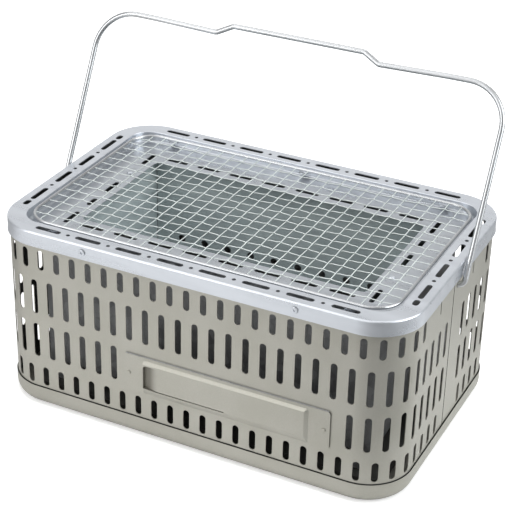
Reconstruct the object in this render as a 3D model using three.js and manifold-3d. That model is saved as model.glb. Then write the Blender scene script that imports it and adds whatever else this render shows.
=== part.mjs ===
// A tabletop charcoal grill: a perforated casing round a heat shield and a hanging firebox,
// with an ash drawer, a lift-off wire net and a folding wire bail.
// Millimetres, +Z up. The origin is the middle of the base's underside and the drawer faces -Y.
import * as THREE from "three";
import { mergeGeometries, mergeVertices } from "three/addons/utils/BufferGeometryUtils.js";
import Module from "manifold-3d";

const wasm = await Module();
wasm.setup();

// Values that every piece uses
const sheet = 0.8; // thickness of the casing, rim, firebox and shield steel
const gap = 0.3; // space between neighbouring pieces
const overrun = 5; // how far a cutter reaches past the sheet that it cuts
const weld = 0.0005; // points closer than this are one point
const cornerSteps = 6; // straight steps in each rounded corner
const roundSteps = 3; // straight steps in each rounded edge

// Casing: two perforated U-shaped halves, lapped in the middle of the short sides
const casingHalfX = 194;
const casingHalfY = 124.5;
const casingCorner = 41;
const lapHalf = 8;
const slotPitch = 16;
const slotWidth = 6;
const shortSlot = 19.5;
const longSlot = 34.5;
const slotFoot = 2.55; // from the pan's edge up to the lowest row of slots
const lowBridge = 10.1; // plain sheet between the rows, from the bottom up
const middleBridge = 10.2;
const highBridge = 10.9;
const slotHead = 17.55; // from the highest row up to the top of the rim
const seamClear = 17; // half the plain strip along each lapped seam
const bracketClear = 70; // half the plain strip of the top row, over the bail bracket

// Base pan
const panHeight = 19.7;
const panRound = 10; // radius of the rolled bottom edge
const bottomPlateMarginX = 12; // how far the plate reaches past the shield that stands on it
const bottomPlateMarginY = 11;
const bottomPlateCorner = 12;
const bottomPlateRise = 9;

// Rim: flat slotted ring, skirt and sunken slotted floor, pressed in one piece
const rimOverhang = 2.2;
const rimSkirt = 13.8;
const rimRound = 2.2;
const ringWidthX = 17; // from the casing's face to the well
const ringWidthY = 16.5;
const wellCorner = 20;
const wellDepth = 10.3;
const floorWidthX = 40; // from the well's wall to the mouth over the fire
const floorWidthY = 40.5;
const mouthCorner = 4;
const rimSlotPitch = 40;
const rimSlotLength = 25;
const rimSlotWidth = 5;
const rimSlotInset = 8.3; // from the casing's face to the middle of the ring's slots
const rimDot = 3.6;
const rimEndSlotLength = 9.5;
const rimEndSlotWidth = 5.5;
const floorSlotPitch = 34.4;
const floorSlotLength = 23.5;
const floorSlotWidth = 4.4;
const floorShortSlot = 14.5;
const floorSlotInset = 9.8; // from the mouth's edge to the middle of the floor's slots
const netRestInset = 37; // from the well's end to the middle of the nearest pressed net rest
const netRestLength = 10;
const netRestReach = 6.5;
const netRestHeight = 3;

// Net
const netPitch = 12.75;
const netWire = 1.5;
const netFrameWire = 4;
const netMarginX = 4; // from the well's wall to the middle of the frame wire
const netMarginY = 5;
const netFrameCorner = 24;
const netDrop = 1.5; // from the top of the rim to the middle of the frame wire
const netWeave = 1.9; // height between the two layers of wires
const netEdgeDraw = 0.7; // the outermost wires lie this much nearer to the other layer
const netWireSides = 4;

// Firebox, its floor and the fire grate
const fireboxMarginX = 3; // from the mouth's edge out to the firebox's wall
const fireboxMarginY = 5.5;
const deckSpace = 3.5; // between the ash tray and the top of the firebox's floor
const deckLedge = 6;
const airHole = 7.6;
const airHolePitch = 25;
const airHoleRise = 13.5; // from the firebox's floor to the middle of its air holes
const tabReach = 11;
const tabHalf = 9;
const ashOpeningInsetX = 12; // from the ash tray's side to the opening over it
const ashOpeningInsetY = 15; // from the firebox's long wall to the opening
const grateSheet = 1.2;
const grateRim = 6;
const grateClear = 3; // so that the grate lifts out through the mouth
const grateCorner = 5;
const grateSlotPitch = 19;
const grateSlotLength = 46;
const grateSlotWidth = 8;
const grateRowOffset = 28;

// Heat shield: four panels between the firebox and the casing
const shieldSpaceX = 20; // from the firebox's inner face to the shield's outer one
const shieldSpaceY = 19;
const shieldSkirt = 20.5; // how far the shield reaches below the ash tray
const shieldLeg = 15;

// Ash drawer
const drawerSideSpace = 38.5; // right of the tray, inside the shield: the drawer is off-centre
const trayHalf = 84;
const trayHeight = 23;
const trayLift = 2.5; // from the front plate's lower edge up to the tray
const trayEndSpace = 10; // behind the tray, in front of the shield
const trayClear = 1.2;
const panelInset = 1.2; // how far the tray's own front stays inside the front plate
const panelSideInset = 1.6;
const plateHalf = 98.1;
const plateHalfHeight = 19.4;
const plateDrop = 2.7; // from the middle of the third row of slots down to the plate's
const plateCorner = 3;
const pullDepth = 7;
const pullSideInset = 18.7; // from the plate's edges to the pull's
const pullLowInset = 1.6;
const pullHighInset = 2.8;
const pullLeftSlope = 11;
const pullEndSlope = 1.2; // slope of the pull's right end and of its top
const pullBottomSlope = 8.5;
const drawerRivetInset = 5.1;
const drawerRivetDrop = 0.9;
const runnerSheet = 1;
const runnerLip = 9;
const runnerHeight = 13;
const runnerClear = 0.6;

// Fasteners
const screwX = 100;
const screwDrop = 7;
const screwHead = 3.4;
const screwHeadHeight = 1.8;
const screwShank = 1.8;
const screwReach = 8;
const rivetHead = 3;
const rivetHeadHeight = 1.2;
const rivetShank = 1.6;
const rivetTail = 2.2;
const fastenerSides = 8;

// Bail and its brackets
const bailWire = 5;
const bailSides = 10;
const bailLeanDeg = 27.7;
const pivotDrop = 21.2;
const bailClear = 0.5; // between the uprights and the rim's skirt
const bailElbow = 6;
const bailCorner = 36;
const bailHeight = 170.8; // from the pivot to the bar beside each corner
const bailDip = 2; // how much lower the bar is beside the grip
const gripRise = 8.2;
const gripHalf = 64;
const gripSlope = 15.5;
const bailInside = 15; // how far each end reaches inside the casing
const peenRadius = 3.7;
const peenLength = 1.5;
const washerRadius = 6;
const washerThickness = 1;
const bracketSheet = 1.2;
const bracketHalf = 47;
const bracketHalfHeight = 12;
const bracketDrop = 3; // from the pivot to the middle of the bracket
const bracketFlange = 7;
const tabSlitWidth = 1.8;
const tabSlitLength = 14;
const tabSlitY = 40;
const tabSlitDrop = 23;
const bracketTab = 1;
const bracketTabLength = 12;

// Sizes that follow from the ones above
const fourthRow = panHeight + slotFoot + shortSlot / 2;
const thirdRow = fourthRow + shortSlot / 2 + lowBridge + longSlot / 2;
const secondRow = thirdRow + longSlot + middleBridge;
const firstRow = secondRow + longSlot / 2 + highBridge + shortSlot / 2;
const bodyHeight = firstRow + shortSlot / 2 + slotHead;
const rimHalfX = casingHalfX + rimOverhang;
const rimHalfY = casingHalfY + rimOverhang;
const rimCorner = casingCorner + rimOverhang;
const wellHalfX = casingHalfX - ringWidthX;
const wellHalfY = casingHalfY - ringWidthY;
const mouthHalfX = wellHalfX - floorWidthX;
const mouthHalfY = wellHalfY - floorWidthY;
const wellFloor = bodyHeight - wellDepth;
const underFloor = wellFloor - sheet;
const casingBottom = panRound + gap;
const casingTop = bodyHeight - sheet - gap;
const lapStep = sheet + gap;
const netFrameHalfX = wellHalfX - netMarginX;
const netFrameHalfY = wellHalfY - netMarginY;
const fireboxHalfX = mouthHalfX + fireboxMarginX;
const fireboxHalfY = mouthHalfY + fireboxMarginY;
const shieldHalfX = fireboxHalfX + shieldSpaceX;
const shieldHalfY = fireboxHalfY + shieldSpaceY;
const bottomPlateHalfX = shieldHalfX + bottomPlateMarginX;
const bottomPlateHalfY = shieldHalfY + bottomPlateMarginY;
const bottomPlateTop = sheet + gap + bottomPlateRise;
const drawerX = shieldHalfX - drawerSideSpace - trayHalf;
const plateMiddle = thirdRow - plateDrop;
const plateBottom = plateMiddle - plateHalfHeight;
const plateTop = plateMiddle + plateHalfHeight;
const trayBottom = plateBottom + trayLift;
const trayTop = trayBottom + trayHeight;
const deckHeight = trayTop + deckSpace;
const fireboxBottom = deckHeight - 2 * sheet - gap;
const shieldTop = underFloor - gap;
const shieldBottom = trayBottom - shieldSkirt;
const pivotHeight = bodyHeight - pivotDrop;
const bailHalf = rimHalfX + bailClear + bailWire / 2;
const bracketFace = casingHalfX - sheet - lapStep - gap;
const panelFace = casingHalfY + gap + sheet;
const plateFace = panelFace + gap + sheet;
const netHeight = bodyHeight - netDrop;

// Joining and cutting

function solid(geometry) {
  const bare = new THREE.BufferGeometry();
  bare.setAttribute("position", geometry.getAttribute("position"));
  bare.setIndex(geometry.getIndex());
  const merged = mergeVertices(bare, weld);
  const mesh = new wasm.Mesh({
    numProp: 3,
    vertProperties: merged.getAttribute("position").array,
    triVerts: new Uint32Array(merged.getIndex().array),
  });
  return new wasm.Manifold(mesh);
}

function geometryOf(body) {
  const mesh = body.getMesh();
  const geometry = new THREE.BufferGeometry();
  geometry.setAttribute("position", new THREE.BufferAttribute(mesh.vertProperties, 3));
  geometry.setIndex(new THREE.BufferAttribute(mesh.triVerts, 1));
  const flat = geometry.toNonIndexed();
  flat.computeVertexNormals();
  return flat;
}

function bareCorners(geometry) {
  const loose = geometry.getIndex() ? geometry.toNonIndexed() : geometry;
  return new THREE.BufferGeometry().setAttribute("position", loose.getAttribute("position"));
}

function joinAll(geometries) {
  return solid(mergeGeometries(geometries.map(bareCorners)));
}

function cutAll(body, cutters) {
  return body.subtract(joinAll(cutters));
}

// Simple shapes

function boxGeometry([x0, x1], [y0, y1], [z0, z1]) {
  const geometry = new THREE.BoxGeometry(x1 - x0, y1 - y0, z1 - z0);
  return geometry.translate((x0 + x1) / 2, (y0 + y1) / 2, (z0 + z1) / 2);
}

function box(xs, ys, zs) {
  return solid(boxGeometry(xs, ys, zs));
}

function either(sign, near, far) {
  return sign > 0 ? [near, far] : [-far, -near];
}

function roundedOutline(halfX, halfY, corner) {
  const points = [];
  for (let quarter = 0; quarter < 4; quarter++) {
    const sideX = quarter === 0 || quarter === 3 ? 1 : -1;
    const sideY = quarter < 2 ? 1 : -1;
    for (let step = 0; step <= cornerSteps; step++) {
      const angle = (Math.PI / 2) * (quarter + step / cornerSteps);
      const x = sideX * (halfX - corner) + corner * Math.cos(angle);
      const y = sideY * (halfY - corner) + corner * Math.sin(angle);
      points.push(new THREE.Vector2(x, y));
    }
  }
  return points;
}

// A closed solid through rounded rectangles, listed from the lowest up
function loft(sections) {
  const rings = sections.map(({ halfX, halfY, corner, z }) =>
    roundedOutline(halfX, halfY, corner).map((p) => new THREE.Vector3(p.x, p.y, z)),
  );
  const count = rings[0].length;
  const corners = [];
  for (let level = 1; level < rings.length; level++) {
    const lower = rings[level - 1];
    const upper = rings[level];
    for (let j = 0; j < count; j++) {
      const k = (j + 1) % count;
      corners.push(lower[j], lower[k], upper[k], lower[j], upper[k], upper[j]);
    }
  }
  const bottom = rings[0];
  const top = rings[rings.length - 1];
  for (let j = 1; j < count - 1; j++) {
    corners.push(bottom[0], bottom[j + 1], bottom[j], top[0], top[j], top[j + 1]);
  }
  return solid(new THREE.BufferGeometry().setFromPoints(corners));
}

function slab(halfX, halfY, corner, low, high) {
  const section = { halfX, halfY, corner };
  return loft([
    { ...section, z: low },
    { ...section, z: high },
  ]);
}

// A prism with pointed ends for a round-ended slot: its length runs along Y, its depth along Z
function slotGeometry(width, length, depth) {
  const straight = length / 2 - width / 2;
  const outline = [
    [-width / 2, -straight],
    [0, -length / 2],
    [width / 2, -straight],
    [width / 2, straight],
    [0, length / 2],
    [-width / 2, straight],
  ];
  const shape = new THREE.Shape(outline.map(([x, y]) => new THREE.Vector2(x, y)));
  const geometry = new THREE.ExtrudeGeometry(shape, { depth, bevelEnabled: false });
  return geometry.translate(0, 0, -depth / 2);
}

function roundGeometry(radius, depth, sides) {
  return new THREE.CylinderGeometry(radius, radius, depth, sides);
}

// A bar of one outline in X and Z, carried along Y
function barAlongY(points, from, to) {
  const shape = new THREE.Shape(points.map(([x, z]) => new THREE.Vector2(x, z)));
  const geometry = new THREE.ExtrudeGeometry(shape, { depth: to - from, bevelEnabled: false });
  return geometry.rotateX(Math.PI / 2).translate(0, to, 0);
}

function centred(count, pitch) {
  return Array.from({ length: count }, (_, index) => (index - (count - 1) / 2) * pitch);
}

// How many slots of one length, or evenly spaced wires or holes, there is room for
function fittedSlots(span, length, pitch) {
  return Math.floor((span - length) / pitch) + 1;
}

function fittedBetween(span, pitch) {
  return Math.floor(span / pitch) - 1;
}

// Casing

// The middle of the front is station 0, and stations grow to the right along the outer face
function stationOf(distance) {
  const side = Math.sign(distance);
  const along = Math.abs(distance);
  const flat = casingHalfX - casingCorner;
  const arc = (casingCorner * Math.PI) / 2;
  if (along <= flat) return { x: distance, y: -casingHalfY, turn: 0 };
  if (along < flat + arc) {
    const turn = (along - flat) / casingCorner;
    const x = side * (flat + casingCorner * Math.sin(turn));
    const y = -casingHalfY + casingCorner * (1 - Math.cos(turn));
    return { x, y, turn: side * turn };
  }
  const y = -casingHalfY + casingCorner + (along - flat - arc);
  return { x: side * casingHalfX, y, turn: (side * Math.PI) / 2 };
}

function wallSlot(station, width, length, height) {
  return slotGeometry(width, length, 2 * overrun)
    .rotateX(Math.PI / 2)
    .rotateZ(station.turn)
    .translate(station.x, station.y, height);
}

function rowSlots(height, length, offsetShare, clear) {
  const cutters = [];
  const reach = Math.ceil((casingHalfX + casingHalfY) / slotPitch);
  for (let index = -reach; index <= reach; index++) {
    const station = stationOf((index + offsetShare) * slotPitch);
    if (station.y + slotWidth / 2 > -clear) continue;
    cutters.push({ station, cutter: wallSlot(station, slotWidth, length, height) });
  }
  return cutters;
}

function beyondDrawer({ station }) {
  return Math.abs(station.x - drawerX) > plateHalf + slotWidth;
}

function casingSlots(hasDrawer) {
  const third = rowSlots(thirdRow, longSlot, 0.5, seamClear);
  const rows = [
    ...rowSlots(firstRow, shortSlot, 0, bracketClear),
    ...rowSlots(secondRow, longSlot, 0.5, seamClear),
    ...(hasDrawer ? third.filter(beyondDrawer) : third),
    ...rowSlots(fourthRow, shortSlot, 0, seamClear),
  ];
  return rows.map((slot) => slot.cutter);
}

// The U of one half, seen from above, at a depth under the outer face; the lapped ends step inwards
function casingPath(inset, steppedIn) {
  const ends = steppedIn
    ? [
        [casingHalfX - lapStep - inset, lapHalf],
        [casingHalfX - lapStep - inset, -lapHalf - gap],
        [casingHalfX - inset, -lapHalf - gap - lapStep],
      ]
    : [[casingHalfX - inset, lapHalf]];
  const left = ends.map(([x, y]) => new THREE.Vector2(-x, y));
  const arcs = [];
  for (const side of [-1, 1]) {
    for (let step = 0; step <= cornerSteps; step++) {
      const share = step / cornerSteps;
      const turn = (Math.PI / 2) * (side < 0 ? 1 - share : share);
      const radius = casingCorner - inset;
      const x = side * (casingHalfX - casingCorner + radius * Math.sin(turn));
      const y = -casingHalfY + casingCorner - radius * Math.cos(turn);
      arcs.push(new THREE.Vector2(x, y));
    }
  }
  const right = ends.map(([x, y]) => new THREE.Vector2(x, y)).reverse();
  return [...left, ...arcs, ...right];
}

function casingHalf(steppedIn) {
  const outline = [...casingPath(0, steppedIn), ...casingPath(sheet, steppedIn).reverse()];
  const depth = casingTop - casingBottom;
  const wall = new THREE.ExtrudeGeometry(new THREE.Shape(outline), { depth, bevelEnabled: false });
  return solid(wall.translate(0, 0, casingBottom));
}

function bailHoles() {
  const radius = bailWire / 2 + gap;
  return [-1, 1].map((side) =>
    roundGeometry(radius / Math.cos(Math.PI / bailSides), 2 * overrun, bailSides)
      .rotateZ(Math.PI / 2)
      .translate(side * casingHalfX, 0, pivotHeight),
  );
}

function tabSlits() {
  return [-1, 1].map((side) =>
    slotGeometry(tabSlitWidth, tabSlitLength, 2 * overrun)
      .rotateX(Math.PI / 2)
      .rotateZ(Math.PI / 2)
      .translate(side * casingHalfX, -tabSlitY, bodyHeight - tabSlitDrop),
  );
}

function screwHoles() {
  return [-1, 1].map((side) =>
    roundGeometry(screwShank + gap, 2 * (rimOverhang + overrun), fastenerSides)
      .translate(side * screwX, -casingHalfY, bodyHeight - screwDrop),
  );
}

function casingFront() {
  const cutters = [...casingSlots(true), ...bailHoles(), ...tabSlits(), ...screwHoles()];
  const opening = box(
    [drawerX - trayHalf - trayClear, drawerX + trayHalf + trayClear],
    [-casingHalfY - overrun, -casingHalfY + overrun],
    [trayBottom - trayClear, trayTop + trayClear],
  );
  return cutAll(casingHalf(true), cutters).subtract(opening);
}

// The back half is the front half without the drawer and the stepped ends, turned to face +Y
function casingBack() {
  const cutters = [...casingSlots(false), ...bailHoles(), ...tabSlits(), ...screwHoles()];
  return geometryOf(cutAll(casingHalf(false), cutters)).rotateZ(Math.PI);
}

// Base

function panSections(wallHalfX, wallHalfY, corner, radius, top) {
  const sections = [];
  for (let step = 0; step <= roundSteps; step++) {
    const angle = (Math.PI / 2) * (1 - step / roundSteps);
    const inset = radius * (1 - Math.cos(angle));
    sections.push({
      halfX: wallHalfX - inset,
      halfY: wallHalfY - inset,
      corner: corner - inset,
      z: panRound - radius * Math.sin(angle),
    });
  }
  sections.push({ halfX: wallHalfX, halfY: wallHalfY, corner, z: top });
  return sections;
}

function basePan() {
  const inner = gap;
  const outer = gap + sheet;
  const shell = panSections(
    casingHalfX + outer,
    casingHalfY + outer,
    casingCorner + outer,
    panRound,
    panHeight,
  );
  const hollow = panSections(
    casingHalfX + inner,
    casingHalfY + inner,
    casingCorner + inner,
    panRound - sheet,
    panHeight + overrun,
  );
  return loft(shell).subtract(loft(hollow));
}

// An upturned tray that stands on the pan and keeps the fire's heat off the table
function bottomPlate() {
  const low = sheet + gap;
  const shell = slab(bottomPlateHalfX, bottomPlateHalfY, bottomPlateCorner, low, bottomPlateTop);
  const hollow = slab(
    bottomPlateHalfX - sheet,
    bottomPlateHalfY - sheet,
    bottomPlateCorner - sheet,
    low - overrun,
    bottomPlateTop - sheet,
  );
  return shell.subtract(hollow);
}

// Rim

function flatSlot(width, length, x, y, alongX) {
  const geometry = slotGeometry(width, length, 2 * overrun);
  if (alongX) geometry.rotateZ(Math.PI / 2);
  return geometry.translate(x, y, 0);
}

function dotAt(x, y) {
  return roundGeometry(rimDot / 2, 2 * overrun, 4).rotateX(Math.PI / 2).translate(x, y, 0);
}

function ringSlots() {
  const lineX = casingHalfX - rimSlotInset;
  const lineY = casingHalfY - rimSlotInset;
  const alongX = 2 * (casingHalfX - casingCorner);
  const alongY = 2 * (casingHalfY - casingCorner);
  const longCount = fittedSlots(alongX, rimSlotLength, rimSlotPitch);
  const sideCount = fittedSlots(alongY, rimSlotLength, rimSlotPitch);
  const endY = (sideCount * rimSlotPitch) / 2;
  const cutters = [];
  for (const side of [-1, 1]) {
    for (const x of centred(longCount, rimSlotPitch)) {
      cutters.push(flatSlot(rimSlotWidth, rimSlotLength, x, side * lineY, true));
    }
    for (const x of centred(longCount - 1, rimSlotPitch)) cutters.push(dotAt(x, side * lineY));
    for (const y of centred(sideCount, rimSlotPitch)) {
      cutters.push(flatSlot(rimSlotWidth, rimSlotLength, side * lineX, y, false));
    }
    for (const y of centred(sideCount - 1, rimSlotPitch)) cutters.push(dotAt(side * lineX, y));
    for (const y of [-endY, endY]) {
      cutters.push(flatSlot(rimEndSlotWidth, rimEndSlotLength, side * lineX, y, false));
    }
  }
  return cutters.map((cutter) => cutter.translate(0, 0, bodyHeight));
}

// One place on each short side holds the firebox's rivet, and the one across from it is short
function floorSlots() {
  const lineX = mouthHalfX + floorSlotInset;
  const lineY = mouthHalfY + floorSlotInset;
  const alongY = 2 * (wellHalfY - wellCorner);
  const longCount = fittedSlots(2 * mouthHalfX, floorSlotLength, floorSlotPitch);
  const sideCount = fittedSlots(alongY, floorSlotLength, floorSlotPitch);
  const cutters = [];
  for (const side of [-1, 1]) {
    for (const x of centred(longCount, floorSlotPitch)) {
      cutters.push(flatSlot(floorSlotWidth, floorSlotLength, x, side * lineY, true));
    }
    centred(sideCount, floorSlotPitch).forEach((y, index) => {
      const rivetPlace = side < 0 ? sideCount - 2 : 1;
      if (index === rivetPlace) return;
      const length = index === sideCount - 1 - rivetPlace ? floorShortSlot : floorSlotLength;
      cutters.push(flatSlot(floorSlotWidth, length, side * lineX, y, false));
    });
  }
  return cutters.map((cutter) => cutter.translate(0, 0, wellFloor));
}

// The two rivets that hang the firebox from the well's floor
function fireboxRivetPlaces() {
  const x = mouthHalfX + floorSlotInset;
  return [
    [-x, floorSlotPitch],
    [x, -floorSlotPitch],
  ];
}

function fireboxRivetHoles() {
  return fireboxRivetPlaces().map(([x, y]) =>
    roundGeometry(rivetShank + gap, 2 * overrun, fastenerSides)
      .rotateX(Math.PI / 2)
      .translate(x, y, wellFloor),
  );
}

function netRests() {
  const top = netHeight - netFrameWire / 2 - gap;
  const endX = wellHalfX - netRestInset;
  const rests = [];
  for (const side of [-1, 1]) {
    for (const x of [-endX, 0, endX]) {
      const ys = either(side, wellHalfY - netRestReach, wellHalfY + sheet / 2);
      const xs = [x - netRestLength / 2, x + netRestLength / 2];
      rests.push(boxGeometry(xs, ys, [top - netRestHeight, top]));
    }
  }
  return joinAll(rests);
}

function topRim() {
  const sections = [
    { halfX: rimHalfX, halfY: rimHalfY, corner: rimCorner, z: bodyHeight - rimSkirt },
  ];
  for (let step = 0; step <= roundSteps; step++) {
    const angle = (Math.PI / 2) * (step / roundSteps);
    const inset = rimRound * (1 - Math.cos(angle));
    sections.push({
      halfX: rimHalfX - inset,
      halfY: rimHalfY - inset,
      corner: rimCorner - inset,
      z: bodyHeight - rimRound * (1 - Math.sin(angle)),
    });
  }
  const under = slab(
    rimHalfX - sheet,
    rimHalfY - sheet,
    rimCorner - sheet,
    bodyHeight - rimSkirt - overrun,
    bodyHeight - sheet,
  );
  const tub = slab(
    wellHalfX + sheet,
    wellHalfY + sheet,
    wellCorner + sheet,
    underFloor,
    bodyHeight - sheet / 2,
  );
  const well = slab(wellHalfX, wellHalfY, wellCorner, wellFloor, bodyHeight + overrun);
  const mouth = slab(mouthHalfX, mouthHalfY, mouthCorner, underFloor - overrun, bodyHeight);
  const pressed = loft(sections).subtract(under).add(tub).subtract(well).subtract(mouth);
  const backScrewHoles = screwHoles().map((hole) => hole.rotateZ(Math.PI));
  const holes = [
    ...ringSlots(),
    ...floorSlots(),
    ...fireboxRivetHoles(),
    ...screwHoles(),
    ...backScrewHoles,
  ];
  return cutAll(pressed.add(netRests()), holes);
}

// Firebox

function airHoles(side) {
  const count = fittedBetween(2 * fireboxHalfX, airHolePitch);
  return centred(count, airHolePitch).map((x) =>
    roundGeometry(airHole / 2, 2 * overrun, cornerSteps)
      .translate(x, side * fireboxHalfY, deckHeight + airHoleRise),
  );
}

function fireboxLongWall(side) {
  const halfX = fireboxHalfX + sheet;
  const wall = box(
    [-halfX, halfX],
    either(side, fireboxHalfY, fireboxHalfY + sheet),
    [fireboxBottom, shieldTop],
  );
  const ledge = box(
    [-fireboxHalfX + gap, fireboxHalfX - gap],
    either(side, fireboxHalfY - deckLedge, fireboxHalfY + sheet / 2),
    [fireboxBottom, fireboxBottom + sheet],
  );
  return cutAll(wall.add(ledge), airHoles(side));
}

function fireboxEndWall(side) {
  const wall = box(
    either(side, fireboxHalfX, fireboxHalfX + sheet),
    [-fireboxHalfY + gap, fireboxHalfY - gap],
    [fireboxBottom, shieldTop],
  );
  const [, tabY] = fireboxRivetPlaces().find(([x]) => Math.sign(x) === side);
  const tab = box(
    either(side, fireboxHalfX + sheet / 2, fireboxHalfX + tabReach),
    [tabY - tabHalf, tabY + tabHalf],
    [shieldTop - sheet, shieldTop],
  );
  return cutAll(wall.add(tab), fireboxRivetHoles());
}

function fireboxFloor() {
  const halfX = fireboxHalfX - gap;
  const halfY = fireboxHalfY - gap;
  const deck = box([-halfX, halfX], [-halfY, halfY], [deckHeight - sheet, deckHeight]);
  const openingHalfX = trayHalf - ashOpeningInsetX;
  const openingHalfY = fireboxHalfY - ashOpeningInsetY;
  const opening = box(
    [drawerX - openingHalfX, drawerX + openingHalfX],
    [-openingHalfY, openingHalfY],
    [deckHeight - overrun, deckHeight + overrun],
  );
  return deck.subtract(opening);
}

function fireGrate() {
  const halfX = mouthHalfX - grateClear;
  const halfY = mouthHalfY - grateClear;
  const low = deckHeight + gap;
  const top = low + grateRim + grateSheet;
  const shell = slab(halfX, halfY, grateCorner, low, top);
  const hollow = slab(
    halfX - grateSheet,
    halfY - grateSheet,
    grateCorner - grateSheet,
    low - overrun,
    top - grateSheet,
  );
  const count = fittedBetween(2 * halfX, grateSlotPitch);
  const slots = [];
  for (const x of centred(count, grateSlotPitch)) {
    for (const y of [-grateRowOffset, grateRowOffset]) {
      const slot = flatSlot(grateSlotWidth, grateSlotLength, x, y, false);
      slots.push(slot.translate(0, 0, top));
    }
  }
  return cutAll(shell.subtract(hollow), slots);
}

// Heat shield

function shieldLongPanel(side) {
  const ys = either(side, shieldHalfY - sheet, shieldHalfY);
  const legTop = shieldBottom + sheet;
  const foot = bottomPlateTop + gap;
  const panel = box([-shieldHalfX, shieldHalfX], ys, [shieldBottom, shieldTop]);
  const leftLeg = box([-shieldHalfX, -shieldHalfX + shieldLeg], ys, [foot, legTop]);
  const rightLeg = box([shieldHalfX - shieldLeg, shieldHalfX], ys, [foot, legTop]);
  return panel.add(leftLeg).add(rightLeg);
}

function shieldFront() {
  const opening = box(
    [drawerX - trayHalf - trayClear, drawerX + trayHalf + trayClear],
    [-shieldHalfY - overrun, -shieldHalfY + overrun],
    [trayBottom - trayClear, trayTop + trayClear],
  );
  return shieldLongPanel(-1).subtract(opening);
}

function shieldEndPanel(side) {
  const halfY = shieldHalfY - sheet - gap;
  const xs = either(side, shieldHalfX - sheet, shieldHalfX);
  return box(xs, [-halfY, halfY], [shieldBottom, shieldTop]);
}

// Ash drawer

function drawerTray() {
  const xs = [drawerX - trayHalf, drawerX + trayHalf];
  const trayBack = shieldHalfY - trayEndSpace;
  const panelHalf = plateHalf - panelSideInset;
  const shell = box(xs, [-panelFace + sheet / 2, trayBack], [trayBottom, trayTop]);
  const panel = box(
    [drawerX - panelHalf, drawerX + panelHalf],
    [-panelFace, -panelFace + sheet],
    [plateBottom + panelInset, plateTop - panelInset],
  );
  const hollow = box(
    [xs[0] + sheet, xs[1] - sheet],
    [-panelFace + sheet, trayBack - sheet],
    [trayBottom + sheet, trayTop + overrun],
  );
  return cutAll(shell.add(panel).subtract(hollow), drawerRivetHoles());
}

function drawerRivetX(side) {
  return drawerX + side * (plateHalf - drawerRivetInset);
}

function drawerRivetHoles() {
  return [-1, 1].map((side) =>
    roundGeometry(rivetShank + gap, 2 * overrun, fastenerSides)
      .translate(drawerRivetX(side), -plateFace, plateMiddle - drawerRivetDrop),
  );
}

// A block from a rectangle at one depth to another further out, both given as [x0, x1, z0, z1]
function taperedBlock(inner, innerDepth, outer, outerDepth) {
  const ring = ([x0, x1, z0, z1], depth) => [
    new THREE.Vector3(x0, -depth, z0),
    new THREE.Vector3(x1, -depth, z0),
    new THREE.Vector3(x1, -depth, z1),
    new THREE.Vector3(x0, -depth, z1),
  ];
  const near = ring(inner, innerDepth);
  const far = ring(outer, outerDepth);
  const corners = [near[0], near[2], near[1], near[0], near[3], near[2]];
  corners.push(far[0], far[1], far[2], far[0], far[2], far[3]);
  for (let j = 0; j < 4; j++) {
    const k = (j + 1) % 4;
    corners.push(near[j], near[k], far[k], near[j], far[k], far[j]);
  }
  return solid(new THREE.BufferGeometry().setFromPoints(corners));
}

// The pull's outline on the plate, as [x0, x1, z0, z1], and the block that is pressed out of it
function pullOutline(wall) {
  const half = plateHalf - pullSideInset - wall;
  const low = plateBottom + pullLowInset + wall;
  return [drawerX - half, drawerX + half, low, plateTop - pullHighInset - wall];
}

function pullBlock(wall, depth) {
  const base = pullOutline(wall);
  const face = [
    base[0] + pullLeftSlope,
    base[1] - pullEndSlope,
    base[2] + pullBottomSlope,
    base[3] - pullEndSlope,
  ];
  return taperedBlock(base, depth, face, depth + pullDepth);
}

function drawerFront() {
  const back = plateFace - sheet;
  const plate = geometryOf(slab(plateHalf, plateHalfHeight, plateCorner, back, plateFace))
    .rotateX(Math.PI / 2)
    .translate(drawerX, 0, plateMiddle);
  const hollow = pullBlock(sheet, back);
  const [x0, x1, z0, z1] = pullOutline(sheet);
  const behind = box([x0, x1], [-back, -back + overrun], [z0, z1]);
  const pressed = solid(plate).add(pullBlock(0, plateFace - sheet / 2));
  return cutAll(pressed.subtract(hollow).subtract(behind), drawerRivetHoles());
}

function runner(side) {
  const wallX = trayHalf + runnerClear;
  const shelf = trayBottom - gap;
  const outline = [
    [wallX + runnerSheet, shelf - runnerSheet],
    [wallX + runnerSheet, shelf + runnerHeight],
    [wallX, shelf + runnerHeight],
    [wallX, shelf],
    [wallX - runnerLip, shelf],
    [wallX - runnerLip, shelf - runnerSheet],
  ];
  const points = outline.map(([x, z]) => [drawerX + side * x, z]);
  const reach = shieldHalfY - sheet - gap;
  return barAlongY(points, -reach, reach);
}

// Fasteners

// A domed head on a shank, turned about its own axis: the head's seat is at height 0
function fastener(head, headHeight, shank, reach, tail) {
  const outline = [
    [0, headHeight],
    [head / 2, headHeight],
    [head, 0],
    [shank, 0],
    [shank, -reach],
  ];
  if (tail) outline.push([tail, -reach], [tail, -reach - headHeight]);
  outline.push([0, tail ? -reach - headHeight : -reach]);
  const points = outline.map(([x, y]) => new THREE.Vector2(x, y)).reverse();
  return new THREE.LatheGeometry(points, fastenerSides);
}

function rimScrew(sideX, sideY) {
  const screw = fastener(screwHead, screwHeadHeight, screwShank, screwReach, 0);
  if (sideY < 0) screw.rotateX(Math.PI);
  return screw.translate(sideX * screwX, sideY * (rimHalfY + gap), bodyHeight - screwDrop);
}

function fireboxRivet([x, y]) {
  const reach = 2 * sheet + 3 * gap;
  const rivet = fastener(rivetHead, rivetHeadHeight, rivetShank, reach, rivetTail);
  return rivet.rotateX(Math.PI / 2).translate(x, y, wellFloor + gap);
}

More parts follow.
